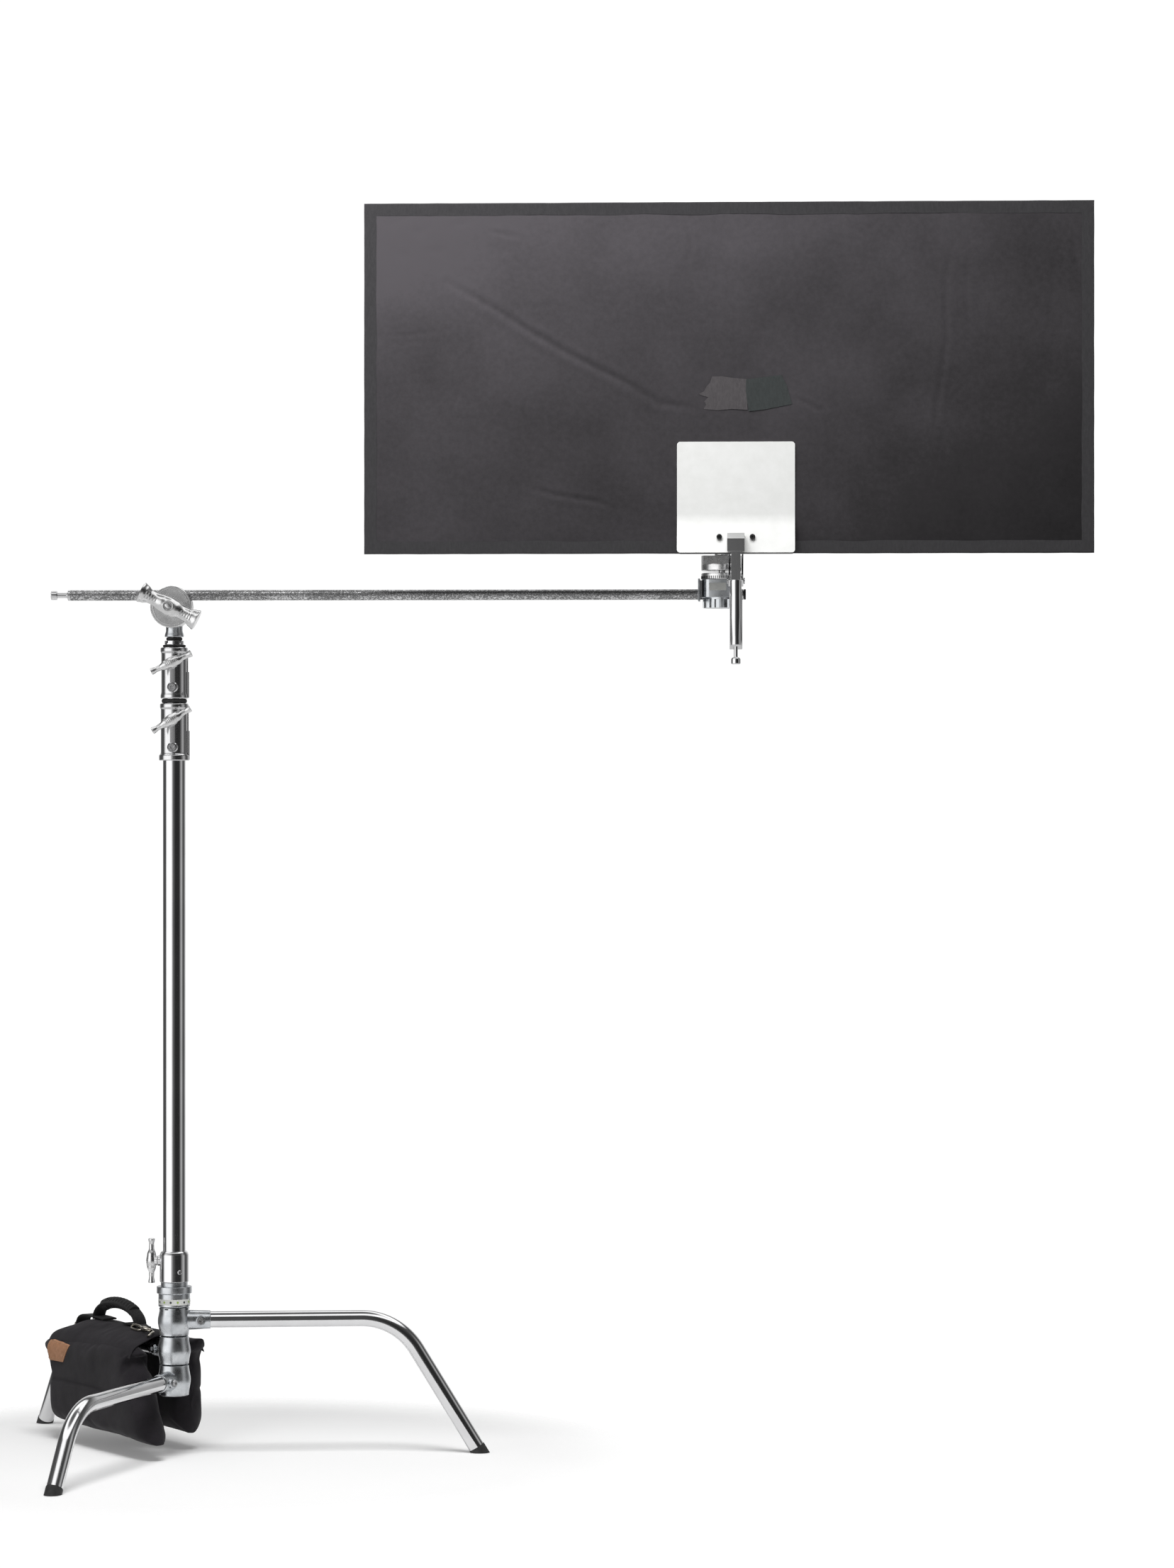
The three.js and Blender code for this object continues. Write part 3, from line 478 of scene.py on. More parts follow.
def leather_look():
    look = Look("tan_leather")
    look.link("Base Color", look.ramp(look.noise(7, 5, 0.65), [
        (0.25, (0.33, 0.16, 0.085)), (0.55, (0.44, 0.225, 0.125)), (0.8, (0.52, 0.29, 0.175)),
    ]))
    look.link("Roughness", look.ramp(look.noise(4, 4), [(0.3, 0.5), (0.7, 0.68)]))
    look.bump(look.cells(0.9), 0.12, 0.5)
    return look.material


METAL = {"Metallic": 1.0}

# Each finish: the slot that its pieces stand for, and its material.
FINISHES = {
    "chrome": ("chrome", chrome_look()),
    "bolt": ("chrome", mottled(
        "bright_bolt", ((4,), [(0.35, grey(0.42)), (0.7, grey(0.62))]), ((2,), [(0.3, 0.18), (0.7, 0.36)]),
        **METAL)),
    "cast": ("cast_alloy", cast_look()),
    "bright_cast": ("cast_alloy", mottled(
        "bright_cast", ((7, 4, 0.6), [(0.25, (0.66, 0.66, 0.665)), (0.7, (0.76, 0.76, 0.76))]),
        ((6, 4), [(0.3, 0.22), (0.75, 0.34)]), ((1.6, 3, 0.6), 0.02, 0.3), **METAL)),
    "brushed": ("cast_alloy", brushed_look()),
    "arm": ("worn_chrome", arm_look()),
    "rubber": ("rubber", mottled(
        "rubber", ((9, 4), [(0.3, grey(0.011)), (0.75, grey(0.03))]), ((6, 4), [(0.3, 0.5), (0.7, 0.78)]),
        ((0.8, 3), 0.06, 0.5))),
    "paint": ("white_paint", mottled(
        "white_paint", ((28, 5, 0.65), [(0.3, (0.70, 0.705, 0.69)), (0.7, (0.76, 0.765, 0.755))]),
        ((18, 4), [(0.3, 0.42), (0.7, 0.58)]), ((1.1, 3, 0.5), 0.03, 0.5))),
    "dark_steel": ("black_steel", mottled(
        "black_steel", ((3, 4), [(0.3, grey(0.015)), (0.75, grey(0.05))]), ((2, 3), [(0.3, 0.3), (0.7, 0.5)]),
        Metallic=0.6)),
    "board": ("black_board", board_look()),
    "board_tape": ("black_board", tape_look("board_tape", (0.03, 0.029, 0.031), 0.5)),
    "grey_tape": ("black_board", tape_look("grey_tape", (0.062, 0.057, 0.06), 0.6)),
    "green_tape": ("black_board", tape_look("green_tape", (0.03, 0.034, 0.034), 0.55)),
    "canvas": ("black_canvas", canvas_look()),
    "webbing": ("black_canvas", mottled(
        "webbing", ((2.5, 4), [(0.3, grey(0.009)), (0.75, grey(0.026))]), 0.8, ((1.0, 3), 0.2, 0.6),
        Sheen_Weight=0.06, Specular_IOR_Level=0.25)),
    "leather": ("tan_leather", leather_look()),
    "thread": ("tan_leather", mottled(
        "thread", ((1.0, 3), [(0.3, (0.3, 0.17, 0.1)), (0.7, (0.5, 0.33, 0.21))]), 0.75)),
    "nickel": ("nickel_hook", mottled(
        "nickel", ((5, 4), [(0.3, (0.55, 0.5, 0.41)), (0.7, (0.78, 0.75, 0.68))]),
        ((3, 4), [(0.3, 0.12), (0.7, 0.28)]), **METAL)),
    "band": ("white_band", band_look("white_band", (0.8, 0.81, 0.78))),
    "band_mark": ("white_band", band_look("green_mark", (0.35, 0.5, 0.1))),
    "ink": ("white_band", band_look("dark_mark", (0.03, 0.03, 0.032))),
}


# ---------------------------------------------------------------- shapes, in millimetres
class Shape:
    """Points and faces in millimetres, before they become a piece."""

    def __init__(self, points, faces):
        self.points = [Vector(p) for p in points]
        self.faces = faces

    def moved(self, matrix):
        return Shape([matrix @ p for p in self.points], self.faces)

    def __add__(self, other):
        start = len(self.points)
        shifted = [tuple(i + start for i in face) for face in other.faces]
        return Shape(self.points + other.points, self.faces + shifted)


def total(shapes):
    whole = Shape([], [])
    for shape in shapes:
        whole = whole + shape
    return whole


def aimed(origin, way, turn=0.0):
    """The matrix that stands a shape made about +Z on `origin` so that +Z points along `way`."""
    way = Vector(way).normalized()
    stand = Vector(way).to_track_quat("Z", "Y") if abs(way.z) < 0.999 else UP.rotation_difference(way)
    return Matrix.Translation(Vector(origin)) @ stand.to_matrix().to_4x4() @ Matrix.Rotation(turn, 4, "Z")


def outward(radius, height, degrees):
    """The matrix that stands a shape on a cylinder about the column's axis, facing out at an azimuth."""
    way = Vector((math.cos(math.radians(degrees)), math.sin(math.radians(degrees)), 0))
    return aimed(way * radius + UP * height, way)


def filleted(profile, radius, steps=4, closed=False):
    """The profile with its corners rounded."""
    points = [Vector(p) for p in profile]
    count = len(points)
    made = []
    for i, corner in enumerate(points):
        if not closed and i in (0, count - 1):
            made.append(corner)
            continue
        before, after = points[i - 1], points[(i + 1) % count]
        reach = min(radius, (before - corner).length * 0.45, (after - corner).length * 0.45)
        start = corner + (before - corner).normalized() * reach
        end = corner + (after - corner).normalized() * reach
        for k in range(steps + 1):
            t = k / steps
            made.append(start * (1 - t) ** 2 + corner * 2 * t * (1 - t) + end * t * t)
    return made


def turned(profile, sides=64, closed=False):
    """A solid of revolution about +Z from (radius, height) points that run up the outside."""
    points, rings = [], []
    for radius, height in profile:
        if radius < 1e-6:
            rings.append([len(points)])
            points.append((0, 0, height))
            continue
        rings.append(list(range(len(points), len(points) + sides)))
        for k in range(sides):
            angle = 2 * math.pi * k / sides
            points.append((radius * math.cos(angle), radius * math.sin(angle), height))
    pairs = list(zip(rings, rings[1:])) + ([(rings[-1], rings[0])] if closed else [])
    faces = []
    for low, high in pairs:
        for k in range(sides):
            after = (k + 1) % sides
            if len(low) == 1 and len(high) == 1:
                continue
            if len(low) == 1:
                faces.append((low[0], high[after], high[k]))
            elif len(high) == 1:
                faces.append((low[k], low[after], high[0]))
            else:
                faces.append((low[k], low[after], high[after], high[k]))
    return Shape(points, faces)


def lathe(outline, fillet, steps=4, sides=64, closed=False):
    """A solid of revolution from an outline whose corners are rounded first."""
    return turned(filleted(outline, fillet, steps, closed), sides, closed)


def pipe(radius, bore, low, high, fillet=0.6, sides=96):
    outline = [(bore, low), (radius, low), (radius, high), (bore, high)]
    return lathe(outline, fillet, 3, sides=sides, closed=True)


def ring_faces(rows, sides, closed=False):
    """The faces between rings of `sides` points that follow one another."""
    faces = []
    for i in range(rows if closed else rows - 1):
        a, b = i * sides, (i + 1) % rows * sides
        for k in range(sides):
            after = (k + 1) % sides
            faces.append((a + k, a + after, b + after, b + k))
    return faces


def swept(points, radius, sides=24, flatness=1.0, side_axis=None):
    """A bar along a line of points. `radius` is a number or one for each point; `flatness` squeezes the
    section along the second direction, which stays square to `side_axis` where one is given."""
    points = [Vector(p) for p in points]
    radii = radius if isinstance(radius, (list, tuple)) else [radius] * len(points)
    made = []
    across = None
    for i, point in enumerate(points):
        way = (points[min(i + 1, len(points) - 1)] - points[max(i - 1, 0)]).normalized()
        if side_axis is not None:
            across = Vector(side_axis) - way * way.dot(Vector(side_axis))
        elif across is None:
            across = way.orthogonal()
        else:
            across = across - way * way.dot(across)
        across = across.normalized()
        second = way.cross(across)
        for k in range(sides):
            angle = 2 * math.pi * k / sides
            offset = across * math.cos(angle) + second * (math.sin(angle) * flatness)
            made.append(point + offset * radii[i])
    faces = ring_faces(len(points), sides)
    last = (len(points) - 1) * sides
    faces.append(tuple(reversed(range(sides))))
    faces.append(tuple(last + k for k in range(sides)))
    return Shape(made, faces)


def plate(outline, low, high):
    """A flat outline of (x, y) points raised along +Z."""
    count = len(outline)
    points = [(x, y, low) for x, y in outline] + [(x, y, high) for x, y in outline]
    faces = [tuple(reversed(range(count))), tuple(count + k for k in range(count))]
    for k in range(count):
        after = (k + 1) % count
        faces.append((k, after, count + after, count + k))
    return Shape(points, faces)


def box_shape(low, high):
    outline = [(low[0], low[1]), (high[0], low[1]), (high[0], high[1]), (low[0], high[1])]
    return plate(outline, low[2], high[2])


def rounded_rectangle(width, height, corner, steps=6):
    outline = []
    for sx, sy, start in ((1, 1, 0), (-1, 1, 90), (-1, -1, 180), (1, -1, 270)):
        for k in range(steps + 1):
            angle = math.radians(start + 90 * k / steps)
            outline.append((
                sx * (width / 2 - corner) + corner * math.cos(angle),
                sy * (height / 2 - corner) + corner * math.sin(angle),
            ))
    return outline


# ---------------------------------------------------------------- pieces
FROM_AXIS = Matrix.Translation(AXIS) @ Matrix.Diagonal((MM, MM, MM, 1))
SMOOTH_UNDER = 38


def apply_modifiers(piece):
    graph = bpy.context.evaluated_depsgraph_get()
    fresh = bpy.data.meshes.new_from_object(piece.evaluated_get(graph))
    piece.modifiers.clear()
    piece.data = fresh


def dress(piece, look, body, nodes=(), sharp=SMOOTH_UNDER):
    """Gives a piece its finish, smooth faces with crisp edges, and the body it moves with."""
    slot, material = FINISHES[look]
    mesh = piece.data
    mesh.materials.clear()
    mesh.materials.append(material)
    mesh.polygons.foreach_set("use_smooth", [True] * len(mesh.polygons))
    mesh.set_sharp_from_angle(angle=math.radians(sharp))
    weighted = piece.modifiers.new("weighted", "WEIGHTED_NORMAL")
    weighted.keep_sharp = True
    weighted.weight = 100
    apply_modifiers(piece)
    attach(piece, body)
    if nodes:
        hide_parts(*nodes)
    return piece


def bare_piece(name, mesh):
    piece = bpy.data.objects.new(name, mesh)
    bpy.context.scene.collection.objects.link(piece)
    return piece


def make(name, shape, look, body, nodes=(), matrix=FROM_AXIS, bevel=0.0, sharp=SMOOTH_UNDER):
    """A piece from a shape in millimetres."""
    mesh = bpy.data.meshes.new(name)
    mesh.from_pydata([tuple(matrix @ p) for p in shape.points], [], shape.faces)
    tidy(mesh, bevel)
    return dress(bare_piece(name, mesh), look, body, nodes, sharp)


def tidy(mesh, bevel):
    """Faces out, and where a bevel is asked for, flat triangles merged and its sharp edges softened."""
    work = bmesh.new()
    work.from_mesh(mesh)
    bmesh.ops.remove_doubles(work, verts=work.verts, dist=2e-6)
    bmesh.ops.recalc_face_normals(work, faces=work.faces)
    if bevel:
        bmesh.ops.dissolve_limit(
            work, angle_limit=math.radians(1), verts=work.verts, edges=work.edges, delimit={"NORMAL"})
        sharp = [e for e in work.edges if e.is_manifold and e.calc_face_angle() > math.radians(42)]
        bmesh.ops.bevel(
            work, geom=sharp, offset=bevel * MM, segments=2, profile=0.5, affect="EDGES", clamp_overlap=True)
    work.to_mesh(mesh)
    work.free()


def refined(node, look, bevel=0.35, sharp=42):
    """A copy of a CAD node with softened edges and a real finish, which stands for that node."""
    source = frame["nodes"][node]
    mesh = source.data.copy()
    mesh.name = f"{node}_skin"
    tidy(mesh, bevel)
    return dress(bare_piece(f"{node}_skin", mesh), look, source["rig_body"], [node], sharp)


# ---------------------------------------------------------------- base
def leg_frame(hub):
    return FROM_AXIS @ Matrix.Rotation(math.radians(hub["azimuth"]), 4, "Z")


def leg_line(height, end):
    """The centreline of a leg: level, round the bend, and down the slope to height `end`."""
    slope = math.radians(LEG["slope"])
    reach = LEG["bend"] * math.tan(slope / 2)
    line = [Vector((LEG["start"], 0, height))]
    steps = 28
    for k in range(steps + 1):
        angle = slope * k / steps
        line.append(Vector((
            LEG["knee"] - reach + LEG["bend"] * math.sin(angle), 0,
            height - LEG["bend"] * (1 - math.cos(angle)),
        )))
    line.append(Vector((LEG["knee"] + (height - end) / math.tan(slope), 0, end)))
    return line


def make_leg(level):
    hub = HUBS[level]
    name = hub["leg"]
    body = HUB_BODY[level]
    line = leg_line(hub["socket"], LEG["end"])
    make(f"{name}_leg_tube", swept(line, LEG["radius"], 48, side_axis=(0, 1, 0)), "chrome", body,
         [f"{name}_leg"], leg_frame(hub), sharp=30)
    make(f"{name}_foot_cap", foot_shape(hub["socket"]), "rubber", body, [f"{name}_foot"], leg_frame(hub))


def foot_shape(height):
    """A rubber plug in the end of a leg, cut flat where it stands on the floor."""
    slope = math.radians(LEG["slope"])
    way = Vector((math.cos(slope), 0, -math.sin(slope)))
    end = Vector((LEG["knee"] + (height - LEG["end"]) / math.tan(slope), 0, LEG["end"]))
    stations = [(0.3, 12.3), (0.45, 12.8), (0.9, 13.0), (4.0, 13.0), (26.0, 13.0)]
    line = [end + way * along for along, _ in stations]
    cap = swept(line, [radius for _, radius in stations], 64, side_axis=(0, 1, 0))
    for point in cap.points:
        if point.z < 0:
            point += way * (point.z / -way.z)
    plug = swept([end + way * along for along in (-20, 0.6)], 10.4, 32, side_axis=(0, 1, 0))
    return cap + plug


def hub_shape(hub):
    low, high = hub["low"], hub["high"]
    waves = 24
    profile = [(HUB_BORE, low), (20.6, low)]
    for k in range(waves + 1):
        along = k / waves
        swell = 2.9 * math.sin(math.pi * along) ** 2
        profile.append((22.3 + swell, low + 1.2 + along * (high - low - 2.4)))
    profile += [(20.6, high), (HUB_BORE, high)]
    socket = filleted([(0, 0), (17.5, 0), (15.2, 22), (14.0, 55), (12.8, 56), (12.8, 50), (0, 50)], 1.6, 4)
    side = hub["bolt"]
    boss = filleted([(0, 8), (8.4, 8), (7.6, 17.6), (0, 17.6)], 1.2, 3)
    return total([
        turned(profile, 96, closed=True),
        turned(socket, 64).moved(aimed((0, 0, hub["socket"]), RIGHT)),
        turned(boss, 40).moved(aimed((41, 0, hub["socket"]), (0, side, 0))),
    ])


def hex_bolt(radius, height, recess, sides=6):
    """A round-edged hexagon or round head standing on z = 0, with a key hole in its top."""
    outline = [(0, 0), (radius, 0), (radius, height - 0.9), (radius - 1.1, height), (recess, height),
               (recess * 0.96, height - 1.9), (0, height - 2.2)]
    return turned(outline, sides)


for level_name, hub_data in HUBS.items():
    make_leg(level_name)
    make(f"{level_name}_hub_casting", hub_shape(hub_data), "cast", HUB_BODY[level_name],
         [f"{level_name}_hub"], leg_frame(hub_data))
    refined(f"{hub_data['leg']}_leg_bolt", "bolt", bevel=0.2)


def sleeve_shape():
    outline = [
        (HUB_BORE, 230.15), (24.3, 230.15), (24.3, 250), (20.7, 250.4), (20.7, 267.7), (HUB_BORE, 267.7),
    ]
    return lathe(outline, 0.9, 3, sides=96, closed=True)


def make_base_sleeve():
    """The sleeve above the hubs with its plain band, its marks, and dark plates of painted shade that stand
    for the slots under it.
    """
    make("base_sleeve_turned", sleeve_shape(), "cast", "base", ["base_sleeve"])
    make("sleeve_band", pipe(24.42, 24.1, 233.4, 242.2, 0.05), "band", "base")
    for k in range(14):
        mark = turned([(0, -0.3), (1.7, -0.3), (1.7, 0.22), (0, 0.22)], 20)
        look = "band_mark" if k % 2 else "ink"
        make(f"band_mark_{k}", mark.moved(outward(24.3, 237.8, 360 * k / 14 + 7)), look, "base")
    # painted shade: small dark plates on the hub stand for the shade inside its slots
    for k in range(8):
        slot = plate(rounded_rectangle(6.0, 1.8, 0.8), -0.6, 1.4)
        make(f"painted_slot_shade_{k}", slot.moved(outward(21.6, 226.8, 45 * k + 20)), "dark_steel", "right_leg")


def ring_shape(radius, bore, low, high):
    steps = 14
    middle, half = (radius + bore) / 2, (radius - bore) / 2
    centre, rise = (low + high) / 2, (high - low) / 2
    outline = []
    for k in range(steps):
        angle = 2 * math.pi * k / steps
        outline.append((middle + half * math.cos(angle), centre + rise * math.sin(angle)))
    return turned(outline, 72, closed=True)


make_base_sleeve()
make("lock_ring_turned", pipe(27, 21.1, 250.3, 261, 1.1), "cast", "lock_ring", ["lock_ring"])
refined("king_tube", "chrome")
refined("column_bush", "cast")


# ---------------------------------------------------------------- column and risers
def collar_shape():
    outline = [
        (15.6, 268), (22.4, 268), (22.4, 309.5), (20.9, 313.4), (18.6, 315), (17.9, 315), (17.9, 289.7),
        (15.6, 289.7),
    ]
    return lathe(outline, 0.8, 3, sides=96, closed=True)


def make_collar():
    boss = lathe([(0, 19), (8.2, 19), (7.8, 25), (4.5, 25), (4.5, 19.5)], 0.6, sides=40)
    make("column_collar_turned", collar_shape() + boss.moved(aimed((0, 0, 300), LEFT)), "chrome", "column",
         ["column_collar"])
    screw = hex_bolt(3.4, 2.2, 1.5, 28)
    make("collar_screw", screw.moved(outward(22.1, 284, -62)), "bolt", "column")


def casting_shape(data):
    low, high = data["low"], data["high"]
    radius, lip, flange = data["radius"], data["lip"], data["flange"]
    flange_top = low + data["flange_height"]
    outline = [
        (data["socket"], low), (flange - 0.6, low), (flange, low + 1.2), (flange, flange_top - 1),
        (radius + 0.4, flange_top + 1.6), (radius, flange_top + 4), (radius, high - 9),
        (lip, high - 6.5), (lip, high - 1.4), (lip - 1.4, high),
        (data["bore"], high), (data["bore"], data["ledge"]), (data["socket"], data["ledge"]),
    ]
    body = lathe(outline, 1.2, 3, sides=96, closed=True)
    pad = filleted([(0, 15), (8.9, 15), (8.3, 23.2), (6.8, 25), (6.4, 24.2), (4.5, 24.2), (4.5, 16)], 0.7, 3)
    knob_pad = turned(pad, 48).moved(aimed((0, 0, data["knob"]), FRONT))
    bolt_pad = turned(pad, 48).moved(aimed((0, 1, data["bolt"]), FRONT))
    return total([body, knob_pad, bolt_pad])


def rib_shape(data):
    """The front rib between the two pads and the seam on the right."""
    front = box_shape((-4.4, -23.2, data["bolt"]), (4.4, -15, data["knob"]))
    tall = data["high"] - data["low"]
    seam = box_shape((15, -3, data["low"] + 1), (data["radius"] + 3, 3, data["low"] + tall * 0.52))
    thin_seam = box_shape((15, -1.3, data["low"] + tall * 0.5), (data["radius"] + 1.4, 1.3, data["high"] - 7))
    return total([front, seam, thin_seam])


def blended(knots, along):
    """The value at `along` of a smooth line through (place, value) knots."""
    for (x0, y0), (x1, y1) in zip(knots, knots[1:]):
        if along <= x1:
            t = (along - x0) / (x1 - x0)
            return y0 + (y1 - y0) * t * t * (3 - 2 * t)
    return knots[-1][1]


def spindle(half, knots, end_round, steps, flatness, sides):
    """A bar along X whose radius swells and narrows along smooth knots, with rounded ends."""
    line, radii = [], []
    for k in range(steps + 1):
        x = -half + 2 * half * k / steps
        line.append((x, 0, 0))
        radii.append(blended(knots, abs(x)))
    inner = radii[-1]
    for part in (0.45, 0.8, 1.0):
        x = half + 0.5 * end_round * part
        radius = inner - end_round * part
        line = [(-x, 0, 0), *line, (x, 0, 0)]
        radii = [radius, *radii, radius]
    return swept(line, radii, sides, flatness, side_axis=(0, 1, 0))


def knob_shape():
    """A T knob: +Z is its screw's axis and the bar lies along X."""
    knots = [(0, 8.6), (10, 7.4), (19, 4.4), (25, 4.1), (32, 5.3), (34, 5.4)]
    lift = Matrix.Translation((0, 0, KNOB["stand"]))
    bar = spindle(KNOB["half"] - 0.4, knots, 1.0, 60, 0.94, 32).moved(lift)
    neck = [(0, 15.8), (4.0, 15.8), (4.0, 25.4), (7.6, 25.6), (7.0, 30), (6.2, 36), (0, 36)]
    stem = lathe(neck, 0.5, 3, sides=40)
    ribs = [
        plate(rounded_rectangle(1.3, 7.5 - abs(k) * 0.9, 0.6), 0, 1.0)
        .moved(Matrix.Translation((k * 2.6, 0, KNOB["stand"] + blended(knots, abs(k * 2.6)) * 0.94 - 0.62)))
        for k in range(-3, 4)
    ]
    return total([bar, stem, *ribs])


TO_FRONT = Matrix.Rotation(math.radians(90), 4, "X")
TO_LEFT = Matrix.Rotation(math.radians(-90), 4, "Y")


def turn(degrees):
    return Matrix.Rotation(math.radians(degrees), 4, "Z")


def handle_shape(foot, height):
    """A large T handle with a bow-tie bar along X: flared ends, a domed middle and a recess for the bolt."""
    knots = [(0, 13.7), (11, 12.7), (24, 10.0), (31, 10.4), (41, 14.2), (46.5, 16), (48, 16)]
    centre = foot + height
    lift = Matrix.Translation((0, 0, centre))
    bar = spindle(HANDLE["half"] - 0.6, knots, 1.8, 84, HANDLE["flat"], 44).moved(lift)
    boss = [(5.5, foot), (10.6, foot), (11, foot + 0.8), (11.4, centre - 8), (5.5, centre - 8)]
    stem = lathe(boss, 0.6, 3, sides=48, closed=True)
    top = centre + HANDLE["flat"] * 13.7
    rim = filleted([(6.6, top - 4), (8.6, top - 4), (8.6, top + 0.5), (6.6, top + 0.5)], 0.5, 3, closed=True)
    collar = turned(rim, 48, closed=True)
    dark = turned([(0, top - 3), (6.7, top - 3), (6.7, top - 0.4), (0, top - 0.4)], 40)
    ridges = []
    for side in (-1, 1):
        for k in range(5):
            x = side * (21.5 + 4.2 * k)
            surface = centre + blended(knots, abs(x)) * HANDLE["flat"]
            rib = plate(rounded_rectangle(1.7, 7.2 + 1.1 * k, 0.8), -1.0, 0.55)
            ridges.append(rib.moved(Matrix.Translation((x, 0, surface))))
    return total([bar, stem, collar, *ridges]), dark


def make_column():
    column = pipe(COLUMN["radius"], COLUMN["bore"], COLUMN["low"], COLUMN["high"])
    make("column_tube_smooth", column, "chrome", "column", ["column_tube"])
    make_collar()
    for name, data, body in (("lower", LOWER_CASTING, "column"), ("upper", UPPER_CASTING, "first_riser")):
        make(f"{name}_casting_turned", casting_shape(data), "brushed", body, [f"{name}_casting"])
        make(f"{name}_casting_ribs", rib_shape(data), "brushed", body, bevel=0.8)
        refined(f"{name}_clamp_bolt", "bolt", bevel=0.2)
    for name, size in (("first_riser", (15, 13, 330, 1209)), ("second_riser", (12.5, 10.5, 345, 1246.7))):
        make(f"{name}_smooth", pipe(*size), "chrome", name, [f"{name}_tube"])
    for name, size, body in (
        ("bumper_ring", (19.5, 15.3, 1157.3, 1164), "first_riser"),
        ("lower_top_ring", (17.8, 12.8, 1243.3, 1247), "second_riser"),
        ("upper_top_ring", (12.4, 8.3, 1253.3, 1258.7), "second_riser"),
    ):
        make(f"{name}_round", ring_shape(*size), "rubber", body, [name])
    refined("top_pin", "chrome")
    refined("castellated_bush", "chrome", bevel=0.25)


def make_knobs():
    knobs = (
        ("lower_riser_knob", TO_FRONT, 30.8, 1131.5), ("upper_riser_knob", TO_FRONT, 24.6, 1219),
        ("column_knob", TO_LEFT, 0, 300),
    )
    for name, facing, tilt, height in knobs:
        matrix = FROM_AXIS @ Matrix.Translation((0, 0, height)) @ facing @ turn(tilt)
        make(f"{name}_cast", knob_shape(), "bright_cast", name, [name], matrix, bevel=0.0)


make_column()
make_knobs()


# ---------------------------------------------------------------- head on the stand
def make_handle(name, body, matrix, foot, height):
    shape, dark = handle_shape(foot, height)
    make(f"{name}_cast", shape, "bright_cast", body, [name], matrix)
    make(f"{name}_recess", dark, "bolt", body, (), matrix)


def disc_trim(radius, low, width, height):
    outline = [(radius, low), (radius + width, low), (radius + width, low + height), (radius, low + height)]
    return lathe(outline, height * 0.4, 3, sides=96, closed=True)


def make_head():
    facing = FROM_AXIS @ Matrix.Translation((0, 0, HEAD["z"])) @ TO_FRONT
    refined("head_body", "cast", bevel=0.8)
    refined("head_bolt", "bolt", bevel=0.4)
    refined("head_inner_jaw", "bright_cast", bevel=0.5)
    refined("head_outer_jaw", "bright_cast", bevel=0.5)
    make("head_jaw_rings", disc_trim(26.5, 39.6, 1.6, 0.9) + disc_trim(14, 39.6, 1.2, 0.6), "bright_cast",
         "head_jaws", (), facing)
    make_handle("head_t_handle", "head_handle", facing @ turn(-27), 40.3, 24)


def make_arm():
    quarter = Matrix.Rotation(math.radians(90), 4, "Y")
    along = FROM_AXIS @ Matrix.Translation((0, ARM["y"], ARM["z"])) @ quarter
    make("arm_tube_worn", pipe(ARM["radius"], ARM["bore"], ARM["left"], ARM["right"], 0.5, 64), "arm", "arm",
         ["arm_tube"], along)
    left, right, stud = ARM["left"], ARM["right"], ARM["stud"]
    inner = ARM["bore"] - CLEAR
    turned_end = [
        (0, stud), (6.85, stud), (6.85, stud + 9.2), (4, stud + 9.8), (4, left - 1.6), (inner, left - CLEAR),
        (inner, left + 20), (0, left + 20),
    ]
    make("arm_stud_turned", lathe(turned_end, 0.9, 3, sides=48), "chrome", "arm",
         ["arm_stud"], along)
    cap = [(0, right - 10), (inner, right - 10), (inner, right + 0.3), (8, right + 0.3), (8, right + 3.5),
           (0, right + 3.5)]
    make("arm_end_cap_round", lathe(cap, 1.0, 3, sides=48), "rubber", "arm",
         ["arm_end_cap"], along)


make_head()
make_arm()


# ---------------------------------------------------------------- head at the arm's end
def make_end_head():
    standing = FROM_AXIS @ Matrix.Translation((END["x"], ARM["y"], 0))
    refined("end_head_body", "cast", bevel=0.7)
    refined("end_head_bolt", "bolt", bevel=0.4)
    refined("end_lower_jaw", "bright_cast", bevel=0.5)
    refined("end_upper_jaw", "bright_cast", bevel=0.5)
    ticks = [
        box_shape((31.0, -0.5, 1345.6), (31.8, 0.5, 1349.6)).moved(turn(6 * k)) for k in range(60)
    ]
    make("end_jaw_ticks", total(ticks), "dark_steel", "end_jaws", (), standing)
    make_handle("end_t_handle", "end_handle", standing, END["handle"], 23)


def make_label():
    """A plain pale label on the front of the head, with no marks."""
    label = plate(rounded_rectangle(26, 11.5, 1.2), 0, 0.35)
    stand_up = FROM_AXIS @ Matrix.Translation((END["x"] - 6, ARM["y"] - 30.02, 1333)) @ TO_FRONT
    make("end_head_label", label, "band", "end_head", (), stand_up)


make_end_head()
make_label()


# ---------------------------------------------------------------- plate clamp
FACE = BOARD["thick"] / 2 + CLEAR


def plate_shape(side):
    """A folded sheet beside the board: flat against it above, leaning away below the bend."""
    outer = FACE + PLATE["thick"]
    lean_low = outer + (PLATE["bend"] - PLATE["low"]) * PLATE["lean"]
    path = filleted([(lean_low, PLATE["low"]), (outer, PLATE["bend"]), (outer, PLATE["high"])], 9, 6)
    stations = densified([Vector(p) for p in path], PLATE["corner"])
    whole = stations[-1][1]
    points = []
    for spot, along in stations:
        half = PLATE["width"] / 2
        edge = min(along, whole - along)
        corner = PLATE["corner"]
        if edge < corner:
            half -= corner - math.sqrt(corner ** 2 - (corner - edge) ** 2)
        for x, inward in ((-half, 0), (half, 0), (half, PLATE["thick"]), (-half, PLATE["thick"])):
            points.append((x, side * (spot.x - inward), spot.y))
    return Shape(points, strip_faces(len(stations)))


def strip_faces(rows):
    """The faces of a strip whose section has four points, with its two ends closed."""
    last = 4 * (rows - 1)
    return ring_faces(rows, 4) + [(3, 2, 1, 0), (last, last + 1, last + 2, last + 3)]


